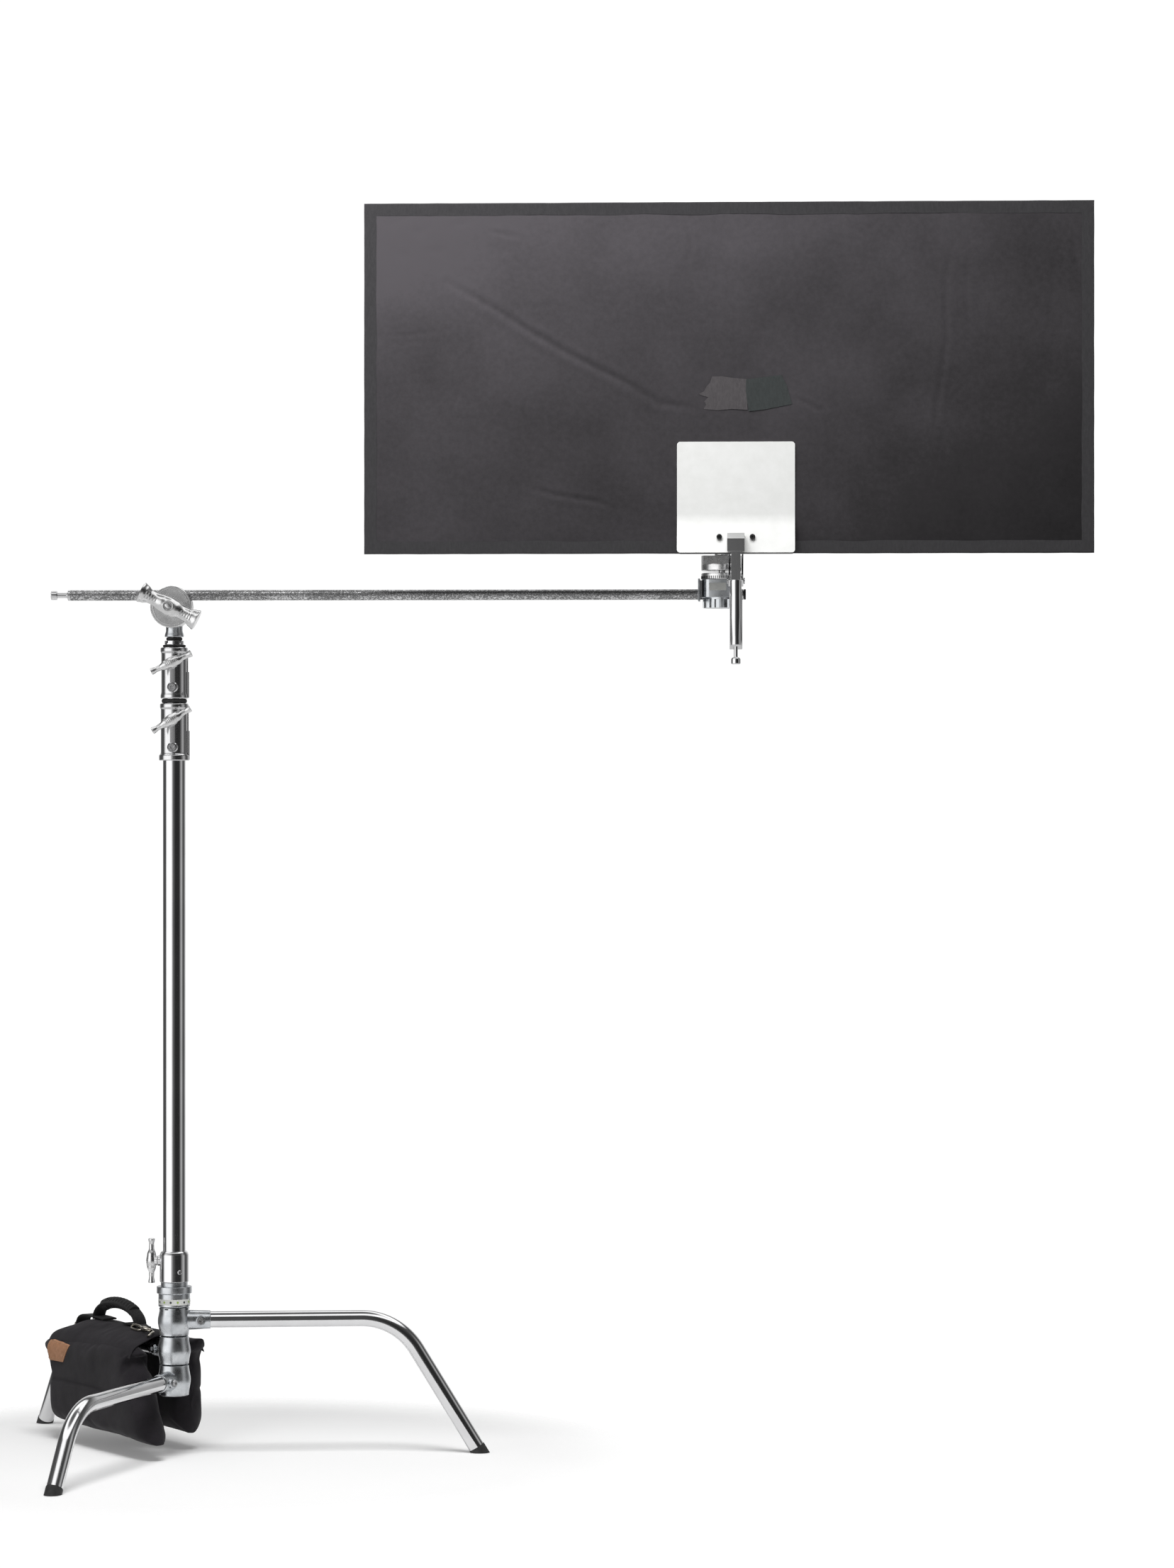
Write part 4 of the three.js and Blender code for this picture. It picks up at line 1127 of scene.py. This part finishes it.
def densified(path, corner):
    """Points along a path with their distance from its start, close together near both ends."""
    lengths = [0.0]
    for a, b in zip(path, path[1:]):
        lengths.append(lengths[-1] + (b - a).length)
    whole = lengths[-1]
    ends = [corner * (1 - math.cos(math.radians(90 * k / 8))) for k in range(9)]
    wanted = sorted(set([*lengths, *ends, *[whole - e for e in ends]]))
    stations = []
    for along in wanted:
        k = max(i for i in range(len(lengths)) if lengths[i] <= along + 1e-9)
        k = min(k, len(path) - 2)
        t = (along - lengths[k]) / (lengths[k + 1] - lengths[k])
        stations.append((path[k].lerp(path[k + 1], t), along))
    return stations


def make_clamp():
    standing = FROM_AXIS @ Matrix.Translation((CLAMP_X, BOARD["y"], 0))
    for name, side, body in (("front_plate", -1, "clamp"), ("rear_plate", 1, "rear_jaw")):
        make(f"{name}_folded", plate_shape(side), "paint", body, [name], standing, bevel=0.35, sharp=25)
    for side in ("left", "right"):
        refined(f"front_plate_screw_{side}", "dark_steel", bevel=0.2)
    for node in ("clamp_frame", "rear_jaw", "release_lever"):
        refined(node, "chrome", bevel=0.9)
    refined("adjusting_screw", "chrome", bevel=0.3)
    refined("clamp_pivot", "bolt", bevel=0.3)


make_clamp()


# ---------------------------------------------------------------- board
# Creases run along lines of (x, z) points; each has a half width, a depth and a raised lip in millimetres.
CREASES = [
    ([(426, 1793), (494, 1754), (559, 1713), (624, 1676), (701, 1637), (747, 1608), (803, 1600)], 5.5, 1.3),
    ([(951, 1615), (976, 1604), (995, 1595)], 4, 0.8),
    ([(553, 1481), (590, 1470), (655, 1459), (687, 1444)], 4, 0.9),
    ([(327, 1710), (372, 1713), (419, 1718)], 2.5, 0.35),
    ([(1190, 1851), (1180, 1790), (1182, 1701), (1168, 1610), (1162, 1552)], 5, 0.45),
    ([(1218, 1860), (1211, 1780), (1213, 1720)], 4, 0.35),
    ([(792, 1871), (798, 1842), (790, 1818)], 4, 0.5),
    ([(1032, 1880), (1054, 1862)], 5, 0.6),
    ([(1370, 1850), (1378, 1810)], 5, 0.8),
    ([(492, 1868), (540, 1860)], 4, 0.4),
    ([(1172, 1560), (1182, 1530)], 6, 0.7),
]
EDGE_TAPE = 19
BOARD_GRID = (150, 300)


def segment_distance(x, z, line):
    """The distance from every (x, z) to a line of points, and how far along the line each one is."""
    best = np.full(x.shape, 1e9)
    along = np.zeros(x.shape)
    count = len(line) - 1
    for k, ((x0, z0), (x1, z1)) in enumerate(zip(line, line[1:])):
        dx, dz = x1 - x0, z1 - z0
        t = np.clip(((x - x0) * dx + (z - z0) * dz) / (dx * dx + dz * dz), 0, 1)
        away = np.hypot(x - x0 - t * dx, z - z0 - t * dz)
        closer = away < best
        best = np.where(closer, away, best)
        along = np.where(closer, (k + t) / count, along)
    return best, along


def face_relief(x, z):
    """How far the board's skin stands in from flat, in millimetres."""
    relief = np.zeros(x.shape)
    for line, width, depth in CREASES:
        away, along = segment_distance(x, z, line)
        fade = np.sin(np.clip(along, 0.02, 0.98) * math.pi) ** 0.5
        relief += fade * depth * 1.8 * np.exp(-(away / (0.75 * width)) ** 2)
        relief -= fade * depth * 0.8 * np.exp(-((away - 1.9 * width) / (0.9 * width)) ** 2)
    waves = np.array([noise.noise(Vector((a * 0.012, b * 0.012, 3.1))) for a, b in zip(x.flat, z.flat)])
    dents = np.array([noise.noise(Vector((a * 0.05, b * 0.05, 9.4))) for a, b in zip(x.flat, z.flat)])
    relief += 0.6 * waves.reshape(x.shape) + 0.8 * np.clip(dents.reshape(x.shape) - 0.25, 0, 1)
    return relief


def board_face(side):
    """One skin of the board as a fine grid: side -1 is the front and 1 the back."""
    inset = 0.7
    rows, columns = BOARD_GRID
    xs = np.linspace(BOARD["left"] + inset, BOARD["right"] - inset, columns)
    zs = np.linspace(BOARD["low"] + inset, BOARD["high"] - inset, rows)
    x, z = np.meshgrid(xs, zs)
    relief = face_relief(x, z) if side < 0 else face_relief(BOARD["left"] + BOARD["right"] - x, z) * 0.6
    edge = np.minimum.reduce([x - BOARD["left"], BOARD["right"] - x, z - BOARD["low"], BOARD["high"] - z])
    relief = relief * np.clip((edge - 3) / 12, 0, 1)
    y = BOARD["y"] + side * (BOARD["thick"] / 2 - 0.25 - relief * 0.8)
    return x, y, z


def make_board():
    points, faces = [], []
    rows, columns = BOARD_GRID
    for side in (-1, 1):
        x, y, z = board_face(side)
        points += [(a, b, c) for a, b, c in zip(x.flat, y.flat, z.flat)]
    half = rows * columns
    for r in range(rows - 1):
        for c in range(columns - 1):
            a = r * columns + c
            faces.append((a, a + 1, a + columns + 1, a + columns))
            b = a + half
            faces.append((b + columns, b + columns + 1, b + 1, b))
    rim = list(range(columns))
    rim += [r * columns + columns - 1 for r in range(1, rows)]
    rim += [(rows - 1) * columns + c for c in range(columns - 2, -1, -1)]
    rim += [r * columns for r in range(rows - 2, 0, -1)]
    for a, b in zip(rim, rim[1:] + rim[:1]):
        faces.append((b, a, a + half, b + half))
    make("board_skin", Shape(points, faces), "board", "board", ["board"])
    for name, shape in edge_tapes():
        make(name, shape, "board_tape", "board", sharp=30)
    make_patches()


def edge_tapes():
    """Cloth tape folded over the four edges, with slightly uneven inner edges."""
    for name, start, end, inward in (
        ("tape_top", (BOARD["left"], BOARD["high"]), (BOARD["right"], BOARD["high"]), (0, -1)),
        ("tape_low", (BOARD["left"], BOARD["low"]), (BOARD["right"], BOARD["low"]), (0, 1)),
        ("tape_left", (BOARD["left"], BOARD["low"]), (BOARD["left"], BOARD["high"]), (1, 0)),
        ("tape_right", (BOARD["right"], BOARD["low"]), (BOARD["right"], BOARD["high"]), (-1, 0)),
    ):
        yield name, folded_tape(start, end, inward)


def folded_tape(start, end, inward):
    steps = 90
    thick = BOARD["thick"] / 2
    points, faces = [], []
    section = [(EDGE_TAPE, -1), (1.6, -1), (0.25, -0.75), (-0.05, 0), (0.25, 0.75), (1.6, 1), (EDGE_TAPE, 1)]
    first, last = Vector(start), Vector(end)
    way = (last - first).normalized()
    for k in range(steps + 1):
        spot = first.lerp(last, k / steps)
        wander = noise.noise(Vector((*(spot * 0.02), 1.7))) * 1.6
        pinch = noise.noise(Vector((*(spot * 0.035), 5.2))) * 0.35
        for depth, level in section:
            reach = depth + wander if depth > 10 else depth - pinch * (abs(level) < 1)
            mitre = way * (reach * (1 - 2 * k / steps))
            spread = spot + mitre + Vector(inward) * reach
            lift = 0.12 if abs(level) == 1 else 0
            points.append((spread.x, BOARD["y"] + level * (thick + lift - 0.05), spread.y))
    count = len(section)
    for k in range(steps):
        for s in range(count - 1):
            a, b = k * count + s, (k + 1) * count + s
            faces.append((a, a + 1, b + 1, b))
    return Shape(points, faces)


# Torn pieces of tape on the front, as outlines of (x, z) points.
PATCHES = {
    "torn_tape_left": ("grey_tape", [
        (828, 1648), (842, 1648.5), (858, 1646), (881, 1644), (880.6, 1620), (881.5, 1597.5), (858, 1599),
        (837, 1597), (815, 1599), (819, 1606), (816, 1610), (822, 1617), (814, 1619), (808, 1621.5),
        (816, 1626), (819.5, 1633), (825, 1639),
    ]),
    "torn_tape_right": ("green_tape", [
        (879.3, 1643.7), (897, 1646), (933, 1650), (937, 1641), (941, 1633), (945, 1619), (949, 1606),
        (930, 1602.5), (907, 1598), (883.6, 1595.5), (881, 1609), (879, 1625),
    ]),
}


def make_patches():
    front = BOARD["y"] - BOARD["thick"] / 2
    for index, (name, (look, outline)) in enumerate(PATCHES.items()):
        shape = plate(outline, -0.02 + 0.2 * index, 0.22 + 0.2 * index)
        stand_up = FROM_AXIS @ Matrix.Translation((0, front, 0)) @ TO_FRONT
        make(name, shape, look, "board", (), stand_up)


make_board()


# ---------------------------------------------------------------- sandbag
# Its own frame: +X out along the rear leg, +Y to the front side of that leg, +Z up, in millimetres.
BAG_FRAME = FROM_AXIS @ Matrix.Rotation(math.radians(BAG_AZIMUTH), 4, "Z")

# The sewn outline of each pouch as (x, z) points, its place across the leg and its half thickness.
POUCHES = {
    "front": ([
        (-43, 22.5), (-42, 22), (-34, 22), (60, 21), (200, 22), (270, 26), (284, 32), (291, 46), (295, 90),
        (299, 126), (318, 138), (323, 143), (320, 154), (294, 163), (250, 170), (150, 175), (34, 176),
        (12, 166), (10, 162), (22, 150), (4, 128), (-8, 98), (-20, 62), (-36, 33), (-42, 24),
    ], 49, 22),
    "rear": ([
        (38, 26), (42, 25), (140, 24), (226, 29), (242, 44), (250, 108), (262, 148), (248, 170), (150, 175),
        (30, 178), (10, 181), (7, 179), (14, 164), (31, 143), (26, 121), (32, 80), (33, 44), (36, 30),
    ], -49, 22),
}
LOWER_SEAM = [(-30, 93), (60, 94), (140, 98), (225, 97), (296, 94)]
VOXEL = 5.0
SEAM_WIDTH = 34
CLOTH = {"frames": 20, "pressure": 4.0, "cap": 6.0}


def vertex_places(piece):
    """The places of a piece's vertices as rows of x, y and z."""
    places = np.empty(len(piece.data.vertices) * 3)
    piece.data.vertices.foreach_get("co", places)
    return places.reshape(-1, 3)


def place_vertices(piece, places):
    piece.data.vertices.foreach_set("co", np.ascontiguousarray(places).ravel())
    piece.data.update()


def softened(outline, rounds=2):
    """A closed outline with its corners cut back a little."""
    points = [Vector(p) for p in outline]
    for _ in range(rounds):
        pairs = zip(points, points[1:] + points[:1])
        points = [a.lerp(b, part) for a, b in pairs for part in (0.25, 0.75)]
    return [tuple(p) for p in points]


def pillow(name, outline, middle, half):
    """A stuffed pouch: thin at the seam round its outline, full between, and heavier low down."""
    loop = softened(outline)
    slab = plate(loop, -half, half).moved(TO_FRONT)
    mesh = bpy.data.meshes.new(name)
    mesh.from_pydata([tuple(p) for p in slab.points], [], slab.faces)
    piece = bare_piece(name, mesh)
    remesh = piece.modifiers.new("even", "REMESH")
    remesh.mode = "VOXEL"
    remesh.voxel_size = VOXEL
    apply_modifiers(piece)
    places = vertex_places(piece)
    away = segment_distance(places[:, 0], places[:, 2], loop + loop[:1])[0]
    rise = np.clip(away / SEAM_WIDTH, 0, 1)
    fullness = 0.12 + 0.88 * np.sqrt(1 - (1 - rise) ** 2)
    weight = 0.8 + 0.22 * np.clip(1 - (places[:, 2] - 30) / 140, 0, 1)
    places[:, 1] = middle + places[:, 1] * fullness * weight
    place_vertices(piece, places)
    return piece


def swell(piece):
    """Fills the fabric with pressure, so that it puckers at its seam, and limits how far it moves."""
    before = vertex_places(piece)
    place_vertices(piece, before * MM)
    cloth = piece.modifiers.new("cloth", "CLOTH")
    settings = cloth.settings
    settings.use_pressure = True
    settings.uniform_pressure_force = CLOTH["pressure"]
    settings.tension_stiffness = 25
    settings.compression_stiffness = 12
    settings.bending_stiffness = 0.6
    settings.shrink_min = -0.05
    settings.effector_weights.gravity = 0
    cloth.point_cache.frame_end = CLOTH["frames"]
    for step in range(1, CLOTH["frames"] + 1):
        bpy.context.scene.frame_set(step)
    apply_modifiers(piece)
    bpy.context.scene.frame_set(1)
    move = vertex_places(piece) / MM - before
    length = np.linalg.norm(move, axis=1, keepdims=True)
    move = move * np.minimum(1, CLOTH["cap"] / np.maximum(length, 1e-6))
    place_vertices(piece, before + move)


def crumple(piece, amount):
    """Soft folds and small wrinkles along the normals, deeper towards the lower corners."""
    for vertex in piece.data.vertices:
        x, y, z = vertex.co
        fold = noise.noise(Vector((x * 0.011 + z * 0.012, y * 0.02, z * 0.009)))
        pull = noise.noise(Vector((x * 0.035 - z * 0.028, y * 0.03 + 4, z * 0.02 + x * 0.012)))
        fine = noise.noise(Vector((x * 0.11, y * 0.11, z * 0.1 + 8)))
        low = 0.5 + max(0.0, 1 - (z - 20) / 60)
        vertex.co = vertex.co + vertex.normal * amount * (2.8 * fold + 1.1 * low * pull + 0.3 * fine)
    piece.data.update()


def subdivide(piece):
    modifier = piece.modifiers.new("fine", "SUBSURF")
    modifier.levels = 1
    modifier.render_levels = 1
    apply_modifiers(piece)


def sew(piece, line, side, depth=1.6, width=2.6):
    """Draws one face of the fabric in along a line of (x, z) points."""
    places = vertex_places(piece)
    normals = np.array([tuple(v.normal) for v in piece.data.vertices])
    away = segment_distance(places[:, 0], places[:, 2], line)[0]
    groove = depth * np.exp(-(away / width) ** 2)
    places[:, 1] -= np.where(normals[:, 1] * side > 0.2, side * groove, 0)
    place_vertices(piece, places)


def make_pouch(name, outline, middle, half):
    piece = pillow(f"sandbag_{name}_canvas", outline, middle, half)
    swell(piece)
    crumple(piece, 0.8)
    subdivide(piece)
    sew(piece, LOWER_SEAM, 1 if middle > 0 else -1)
    piece.data.transform(BAG_FRAME)
    dress(piece, "canvas", "sandbag", [f"sandbag_{name}_pouch"], sharp=60)


# The section of the canvas that passes over the leg, as (y, z) points.
OVER_LEG = [
    (-64, 158), (-60, 167), (-50, 175.5), (-34, 180.5), (-16, 184.5), (0, 186.5), (16, 185.5), (34, 181),
    (50, 175.5), (60, 168), (66, 157),
]


def smooth_line(points, count=40):
    """`count` + 1 points at even steps along a smooth line through the given ones."""
    points = [Vector(p) for p in points]
    spans = len(points) - 1
    made = []
    for k in range(count + 1):
        i = min(int(k / count * spans), spans - 1)
        t = k / count * spans - i
        before, a, b, after = points[max(i - 1, 0)], points[i], points[i + 1], points[min(i + 2, spans)]
        made.append(0.5 * (
            2 * a + (b - before) * t + (2 * before - 5 * a + 4 * b - after) * t ** 2
            + (3 * a - before - 3 * b + after) * t ** 3
        ))
    return made


def sheet_over_leg():
    """The top panel of canvas, from one pouch over the leg to the other."""
    steps, thick = 64, 1.6
    section = smooth_line(OVER_LEG, 40)
    count = len(section)
    points = []
    for k in range(steps + 1):
        along = k / steps
        for layer in (0, 1):
            for s, (y, z) in enumerate(section):
                across = s / (count - 1)
                start = 22 + 14 * math.sin(math.pi * across) ** 2
                end = 296 - 22 * math.sin(math.pi * across) ** 2
                x = start + (end - start) * along
                droop = 5.0 * (2 * along - 1) ** 8
                wave = 2.0 * noise.noise(Vector((x * 0.02, y * 0.03, 2.2)))
                wave += 0.8 * noise.noise(Vector((x * 0.07, y * 0.06, 6.1)))
                points.append((x, y, z + wave - droop - layer * thick))
    return Shape(points, slab_faces(steps, count))


def slab_faces(steps, count):
    """Faces of a thin slab whose points run layer by layer in each of `steps` + 1 rows."""
    row = 2 * count
    faces = []
    for k in range(steps):
        for s in range(count - 1):
            a, b = k * row + s, (k + 1) * row + s
            faces.append((a, b, b + 1, a + 1))
            faces.append((a + count + 1, b + count + 1, b + count, a + count))
        for s in (0, count - 1):
            a, b = k * row + s, (k + 1) * row + s
            faces.append((a, a + count, b + count, b))
    for a in range(count - 1):
        end = steps * row + a
        faces.append((a, a + 1, a + 1 + count, a + count))
        faces.append((end, end + 1, end + 1 + count, end + count))
    return faces


HANDLE_ARCH = {"middle": 182, "reach": 70, "rise": 31, "foot": 187}
GRIP_RIBS = 9


def arch_point(angle):
    return Vector((
        HANDLE_ARCH["middle"] - HANDLE_ARCH["reach"] * math.cos(angle), 0,
        HANDLE_ARCH["foot"] + HANDLE_ARCH["rise"] * math.sin(angle) ** 0.9,
    ))


def make_bag_handle():
    """A webbing loop with a ribbed grip over its middle."""
    loop = [arch_point(math.pi * k / 40) for k in range(41)]
    core = swept(loop, 11, 24, flatness=0.45, side_axis=(0, 1, 0))
    make("sandbag_handle_webbing", core, "webbing", "sandbag", ["sandbag_handle"], BAG_FRAME, sharp=60)
    line, radii = [], []
    for k in range(121):
        part = k / 120
        line.append(arch_point(math.pi * (0.24 + 0.5 * part)))
        ribbed = 0.06 < part < 0.8
        groove = 0.75 + 0.75 * math.cos(2 * math.pi * GRIP_RIBS * (part - 0.06) / 0.74) if ribbed else 0.0
        radii.append((9.6 - groove) * min(1.0, min(part, 1 - part) * 30 + 0.75))
    make("sandbag_grip", swept(line, radii, 32, flatness=0.95, side_axis=(0, 1, 0)), "webbing", "sandbag", (),
         BAG_FRAME, sharp=70)


def flat_strap(line, width, thick):
    """A flat strap along a line of points, level across the leg."""
    points = []
    for i, point in enumerate(line):
        way = (line[min(i + 1, len(line) - 1)] - line[max(i - 1, 0)]).normalized()
        across = (Vector((0, 1, 0)) - way * way.y).normalized()
        up = way.cross(across)
        for a, b in ((-1, -1), (1, -1), (1, 1), (-1, 1)):
            points.append(point + across * (a * width / 2) + up * (b * thick / 2))
    return Shape(points, strip_faces(len(line)))


# The strap on the far side of the handle and the one under the snap hook: its centreline and its width.
STRAPS = {
    "far": ([
        (306, 2, 172), (300, 1, 184), (286, 0, 190), (262, 0, 190.5), (236, 0, 190.5), (214, 0, 189.5),
    ], 24),
    "near": ([(150, 1, 189.5), (128, 1, 191), (108, 2, 190.5), (92, 6, 189.5), (78, 10, 190)], 20),
}


def make_straps():
    for name, (line, width) in STRAPS.items():
        make(f"sandbag_strap_{name}", flat_strap(smooth_line(line), width, 2.6), "webbing", "sandbag", (),
             BAG_FRAME, bevel=0.5, sharp=60)


def wire_ring(centre, radius, wire, normal, squeeze=1.0):
    """A closed ring of round wire."""
    steps, sides = 40, 14
    facing = Vector(normal).to_track_quat("Z", "Y")
    points = []
    for k in range(steps):
        angle = 2 * math.pi * k / steps
        out = Vector((math.cos(angle), math.sin(angle) * squeeze, 0))
        for s in range(sides):
            around = 2 * math.pi * s / sides
            offset = out.normalized() * math.cos(around) + Vector((0, 0, math.sin(around)))
            points.append(Vector(centre) + facing @ (out * radius + offset * wire))
    return Shape(points, ring_faces(steps, sides, closed=True))


def wire(points, radius):
    return swept(smooth_line(points, 30), radius, 14)


def make_snap_hook():
    """A swivel snap hook on the near strap, and the hook and ring at the far end of the other strap."""
    gate = [(112, 14, 189.5), (104, 15.5, 192.6), (92, 17, 193.6), (80, 18, 192.6), (70, 18, 190.4)]
    back = [(112, 14, 189.5), (104, 19.5, 188.2), (90, 22.5, 187.6), (78, 22.5, 187.4), (68, 19, 189.0)]
    barrel = lathe([(0, -5), (4.2, -5), (4.2, 5), (0, 5)], 1.5, sides=28)
    hook = total([
        wire(gate, 1.9), wire(back, 1.7), barrel.moved(aimed((65, 18, 190), RIGHT)),
        wire_ring((55, 17, 189.5), 6.4, 1.5, (0.2, -0.35, 1)),
        wire_ring((40, 20, 184.5), 7.5, 1.5, (0.5, 0.6, 0.9), squeeze=0.7),
    ])
    make("snap_hook_wire", hook, "nickel", "sandbag", ["sandbag_snap_hook"], BAG_FRAME)
    end_hook = wire([(305, 6, 177), (313, 9, 175), (316, 9, 168), (311, 7, 164)], 1.7)
    end_ring = wire_ring((308, 4, 170), 6, 1.6, (0.9, 0.5, 0.2))
    make("strap_end_hook", end_hook + end_ring, "nickel", "sandbag", (), BAG_FRAME)


# The leather tag on the front pouch as four (x, z) corners.
TAG = [(290, 157), (213, 153), (230, 125), (285, 124)]


class Fabric:
    """The outer face of a pouch, to lay things on."""

    def __init__(self, piece, side):
        inverse = BAG_FRAME.inverted()
        places = np.array([tuple(inverse @ v.co) for v in piece.data.vertices])
        middle = side * POUCHES["front"][1]
        self.outer = places[(places[:, 1] - middle) * side > 0]

    def level(self, x, z):
        """How far out the face is at (x, z), as a mean of the vertices near it."""
        away = np.hypot(self.outer[:, 0] - x, self.outer[:, 2] - z)
        near = np.argsort(away)[:6]
        weights = 1 / (away[near] + 0.3)
        return float((self.outer[near, 1] * weights).sum() / weights.sum())


def tag_shape(fabric, corners):
    """A thin leather panel that follows the fabric."""
    steps, thick = 14, 1.6
    a, b, c, d = corners
    points = []
    for i in range(steps + 1):
        for layer in (0, 1):
            for j in range(steps + 1):
                spot = a.lerp(b, i / steps).lerp(d.lerp(c, i / steps), j / steps)
                level = fabric.level(spot.x, spot.y) + 1.1 - layer * thick
                points.append((spot.x, level, spot.y))
    return Shape(points, slab_faces(steps, steps + 1))


def tag_stitches(fabric, corners):
    middle = sum(corners, Vector((0, 0))) / 4
    inner = [corner + (middle - corner).normalized() * 5.5 for corner in corners]
    stitches = []
    for start, end in zip(inner, inner[1:] + inner[:1]):
        number = int((end - start).length / 3.4)
        for k in range(number):
            ends = (start.lerp(end, k / number), start.lerp(end, (k + 0.62) / number))
            line = [(p.x, fabric.level(p.x, p.y) + 1.25, p.y) for p in ends]
            stitches.append(swept(line, 0.42, 6))
    return total(stitches)


def make_tag():
    fabric = Fabric(bpy.data.objects["sandbag_front_canvas"], 1)
    corners = [Vector(p) for p in TAG]
    make("sandbag_tag", tag_shape(fabric, corners), "leather", "sandbag", (), BAG_FRAME, sharp=60)
    make("sandbag_tag_stitches", tag_stitches(fabric, corners), "thread", "sandbag", (), BAG_FRAME)


def make_bag():
    for name, (outline, middle, half) in POUCHES.items():
        make_pouch(name, outline, middle, half)
    make("sandbag_top_canvas", sheet_over_leg(), "canvas", "sandbag", ["sandbag_saddle"], BAG_FRAME, sharp=70)
    make_bag_handle()
    make_straps()
    make_snap_hook()
    make_tag()


make_bag()
